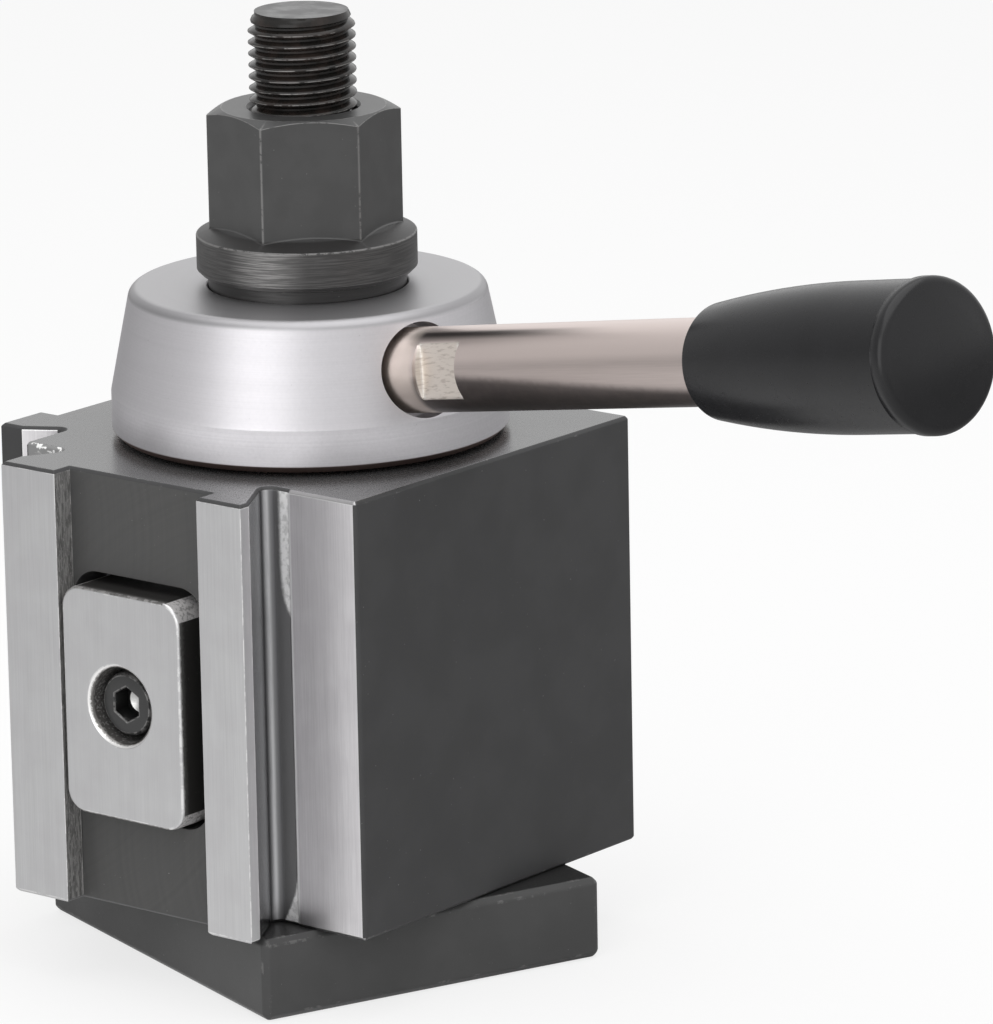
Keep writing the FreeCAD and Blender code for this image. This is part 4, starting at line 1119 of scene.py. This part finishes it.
class TOOLPOST_OT_screws(ToolPostOperator, Operator):
    """Socket screws of the lock plates, with knurled heads"""
    bl_idname = "toolpost.screws"
    bl_label = "Plate screws"

    def execute(self, context):
        socket, socket_floor = 2.0, HEAD_FACE - 2.6
        drill_radius, drill_tip = 1.6, HEAD_FACE - 3.5
        ridges, depth = sizes().knurl_count, sizes().knurl_depth / MM
        seat = HEAD_FACE - HEAD_HEIGHT
        tip = seat - SCREW_LENGTH

        def section(angle):
            from_flat = (angle + pi / 6) % (pi / 3) - pi / 6
            inner = socket / cos(from_flat)
            ridge = HEAD_RADIUS - depth * abs((angle * ridges / tau) % 1.0 * 2 - 1)
            hollow = [(0, drill_tip), (drill_radius, socket_floor), (inner, socket_floor),
                      (inner, HEAD_FACE - 0.2, 0.2), (inner + 0.15, HEAD_FACE, 0.8)]
            head = [(inner + 0.3, HEAD_FACE), (HEAD_RADIUS - 0.55, HEAD_FACE),
                    (HEAD_RADIUS - 0.42, HEAD_FACE - 0.05, 1.0), (HEAD_RADIUS - 0.12, HEAD_FACE - 0.4, 0.2),
                    (ridge, HEAD_FACE - 0.62, 0.3), (ridge, seat + 0.4, 0.3),
                    (HEAD_RADIUS - 0.15, seat + 0.2), (HEAD_RADIUS - 0.3, seat)]
            thread = [(SCREW_RADIUS, seat), (SCREW_RADIUS, tip + 0.3), (SCREW_RADIUS - 0.3, tip),
                      (0, tip)]
            return hollow + head + thread

        materials = [turned_black("Screw steel", (0.024, 0.024, 0.024), 0.6, 0.4),
                     black_oxide("Screw socket", (0.008, 0.008, 0.008)),
                     inner_turned("Drilled socket floor", (0.62, 0.62, 0.61))]
        for lock in ("front", "side"):
            bm = polar_bmesh(ridges * 4, section, lock_place(lock))
            to_axis = lock_place(lock).inverted()
            for face in bm.faces:
                middle = to_axis @ face.calc_center_median() / MM
                if seat + 0.5 < middle.z < HEAD_FACE - 0.12 and hypot(middle.x, middle.y) < 2.35:
                    face.material_index = 2 if middle.z < socket_floor - 0.05 else 1
            finish_mesh(f"{lock}_screw_dressed", bm, f"{lock}_lock", materials,
                        f"{lock}_plate_screw", 28.0)
        return {"FINISHED"}


class TOOLPOST_OT_inner(ToolPostOperator, Operator):
    """Finishes of the pieces inside, which keep their own shape"""
    bl_idname = "toolpost.inner"
    bl_label = "Inner pieces"

    def execute(self, context):
        turned = ("cam_drum", "hub_dowel_pins", "front_piston", "side_piston", "front_keeper_pin",
                  "side_keeper_pin")
        finishes = ((inner_turned("Inner steel", (0.45, 0.45, 0.46)), turned),
                    (inner_turned("Bronze", (0.62, 0.42, 0.20)), ("thrust_washer",)),
                    (inner_turned("Spring steel", (0.14, 0.14, 0.15), 0.4), ("retaining_ring",)))
        for material, nodes in finishes:
            for node in nodes:
                mesh = NODES[node].data
                mesh.materials.clear()
                mesh.materials.append(material)
        return {"FINISHED"}


# Stage

def direction(azimuth, elevation=0.0):
    """From the object at an azimuth, counted from its front, and an elevation, in radians."""
    return Vector((sin(azimuth) * cos(elevation), -cos(azimuth) * cos(elevation),
                   sin(elevation)))


def soft_box(name, azimuth, elevation, distance, width, height, strength):
    """Area lamp that faces the object from an azimuth and an elevation in degrees."""
    lamp = bpy.data.lights.new(name, "AREA")
    lamp.shape = "RECTANGLE"
    lamp.size = width
    lamp.size_y = height
    lamp.energy = strength
    away = direction(radians(azimuth), radians(elevation))
    holder = add_object(name, lamp)
    holder.location = Vector(LAMP_AIM) + away * distance
    holder.rotation_mode = "QUATERNION"
    holder.rotation_quaternion = (-away).to_track_quat("-Z", "Y")


def floor_material(colour):
    """Pale floor that keeps the shadow; seen directly or in metal it is lifted towards white."""
    pen, place = start_material("Pale floor")
    path = pen.add("LightPath").outputs
    seen = pen.math("MAXIMUM", path["Is Camera Ray"], path["Is Glossy Ray"])
    facing = pen.vector("NORMALIZE", place).dot(direction(radians(FLOOR_LIT_SIDE)))
    dimmed = facing.remap(-0.4, 1.0, 0.85, 0.0, smooth=False) * path["Is Glossy Ray"]
    diffuse = pen.value("BsdfDiffuse", Color=colour)
    white = pen.value("Emission", Color=(1, 1, 1), Strength=1.0 - dimmed)
    pen.add("OutputMaterial", None, pen.value("MixShader", None, seen * 0.75, diffuse, white))
    return pen.owner


def studio_world(view):
    """White where it is seen, softer on the object, and dimmed in mirrors towards the camera and one side."""
    world = bpy.data.worlds.new("Studio")
    world.use_nodes = True
    world.node_tree.nodes.clear()
    pen = Pen(world.node_tree)
    path = pen.add("LightPath").outputs
    seen = pen.math("MAXIMUM", path["Is Camera Ray"], path["Is Transmission Ray"])
    toward = pen.value("TexCoord", output="Generated")
    behind = toward.dot(direction(view.azimuth)).remap(0.9, -0.5, 0.87, 1.0)
    beside = toward.dot(direction(radians(DIM_SIDE))).remap(0.45, 1.0, 1.0, 0.52, smooth=False)
    strength = pen.add("Mix", {"data_type": "FLOAT"}, path["Is Glossy Ray"])
    pen.feed(strength.inputs[2], seen.larger(ROOM_LIGHT))
    pen.feed(strength.inputs[3], behind * beside)
    background = pen.value("Background", Color=(1, 1, 1), Strength=strength.outputs[0])
    pen.add("OutputWorld", None, background)
    return world


def place_camera(view):
    """Camera at the photograph's viewpoint, turned about its line of sight."""
    camera = bpy.data.cameras.new("Camera")
    camera.sensor_width = 36.0
    camera.lens = view.lens
    camera.clip_start, camera.clip_end = 0.01, 100.0
    holder = add_object("Camera", camera)
    back = direction(view.azimuth, view.elevation)
    right = Vector((0, 0, 1)).cross(back).normalized()
    up = back.cross(right)
    rolled_right = right * cos(view.roll) + up * sin(view.roll)
    rolled_up = up * cos(view.roll) - right * sin(view.roll)
    place = Vector((0, 0, view.aim_height)) + back * view.distance
    place += rolled_right * view.shift_right + rolled_up * view.shift_up
    holder.matrix_world = Matrix((rolled_right, rolled_up, back)).transposed().to_4x4()
    holder.location = place
    bpy.context.scene.camera = holder


class TOOLPOST_OT_stage(ToolPostOperator, Operator):
    """Pale floor, soft studio light and the photograph's viewpoint"""
    bl_idname = "toolpost.stage"
    bl_label = "Stage, light and camera"

    def execute(self, context):
        scene = context.scene
        bm = bmesh.new()
        bmesh.ops.create_grid(bm, x_segments=8, y_segments=8, size=FLOOR_SIZE)
        mesh = bpy.data.meshes.new("floor")
        bm.to_mesh(mesh)
        bm.free()
        mesh.materials.append(floor_material(colours().floor))
        floor = add_object("floor", mesh)
        scene.world = studio_world(scene.tool_post_camera)
        soft_box("Key", 9, 17, 0.9, 0.62, 0.6, 1.4)
        soft_box("Top", 60, 78, 0.8, 1.1, 1.1, 4.6)
        place_camera(scene.tool_post_camera)
        scene.view_settings.view_transform = "Standard"
        return {"FINISHED"}


class TOOLPOST_PT_panel(Panel):
    """Lists the tool post's sizes, colours and steps"""
    bl_label = "Tool Post"
    bl_idname = "TOOLPOST_PT_panel"
    bl_space_type = "VIEW_3D"
    bl_region_type = "UI"
    bl_category = "Tool Post"

    def draw(self, context):
        layout = self.layout
        for group_name in GROUPS:
            group = getattr(context.scene, group_name)
            for name in group.__annotations__:
                layout.prop(group, name)
        for operator in OPERATORS:
            layout.operator(operator.bl_idname)


OPERATORS = (TOOLPOST_OT_stage, TOOLPOST_OT_body, TOOLPOST_OT_t_nut, TOOLPOST_OT_stud, TOOLPOST_OT_sleeve,
             TOOLPOST_OT_hub, TOOLPOST_OT_rod, TOOLPOST_OT_grip, TOOLPOST_OT_nut, TOOLPOST_OT_plates,
             TOOLPOST_OT_screws, TOOLPOST_OT_inner)
GROUPS = {"tool_post_sizes": ToolPostSizes, "tool_post_colours": ToolPostColours,
          "tool_post_camera": ToolPostCamera}


def register():
    for group_name, group in GROUPS.items():
        bpy.utils.register_class(group)
        setattr(bpy.types.Scene, group_name, PointerProperty(type=group))
    for operator in OPERATORS:
        bpy.utils.register_class(operator)
    bpy.utils.register_class(TOOLPOST_PT_panel)


def unregister():
    bpy.utils.unregister_class(TOOLPOST_PT_panel)
    for operator in reversed(OPERATORS):
        bpy.utils.unregister_class(operator)
    for group_name, group in GROUPS.items():
        delattr(bpy.types.Scene, group_name)
        bpy.utils.unregister_class(group)


def main():
    register()
    for operator in OPERATORS:
        area, name = operator.bl_idname.split(".")
        getattr(getattr(bpy.ops, area), name)()


if __name__ == "__main__":
    main()
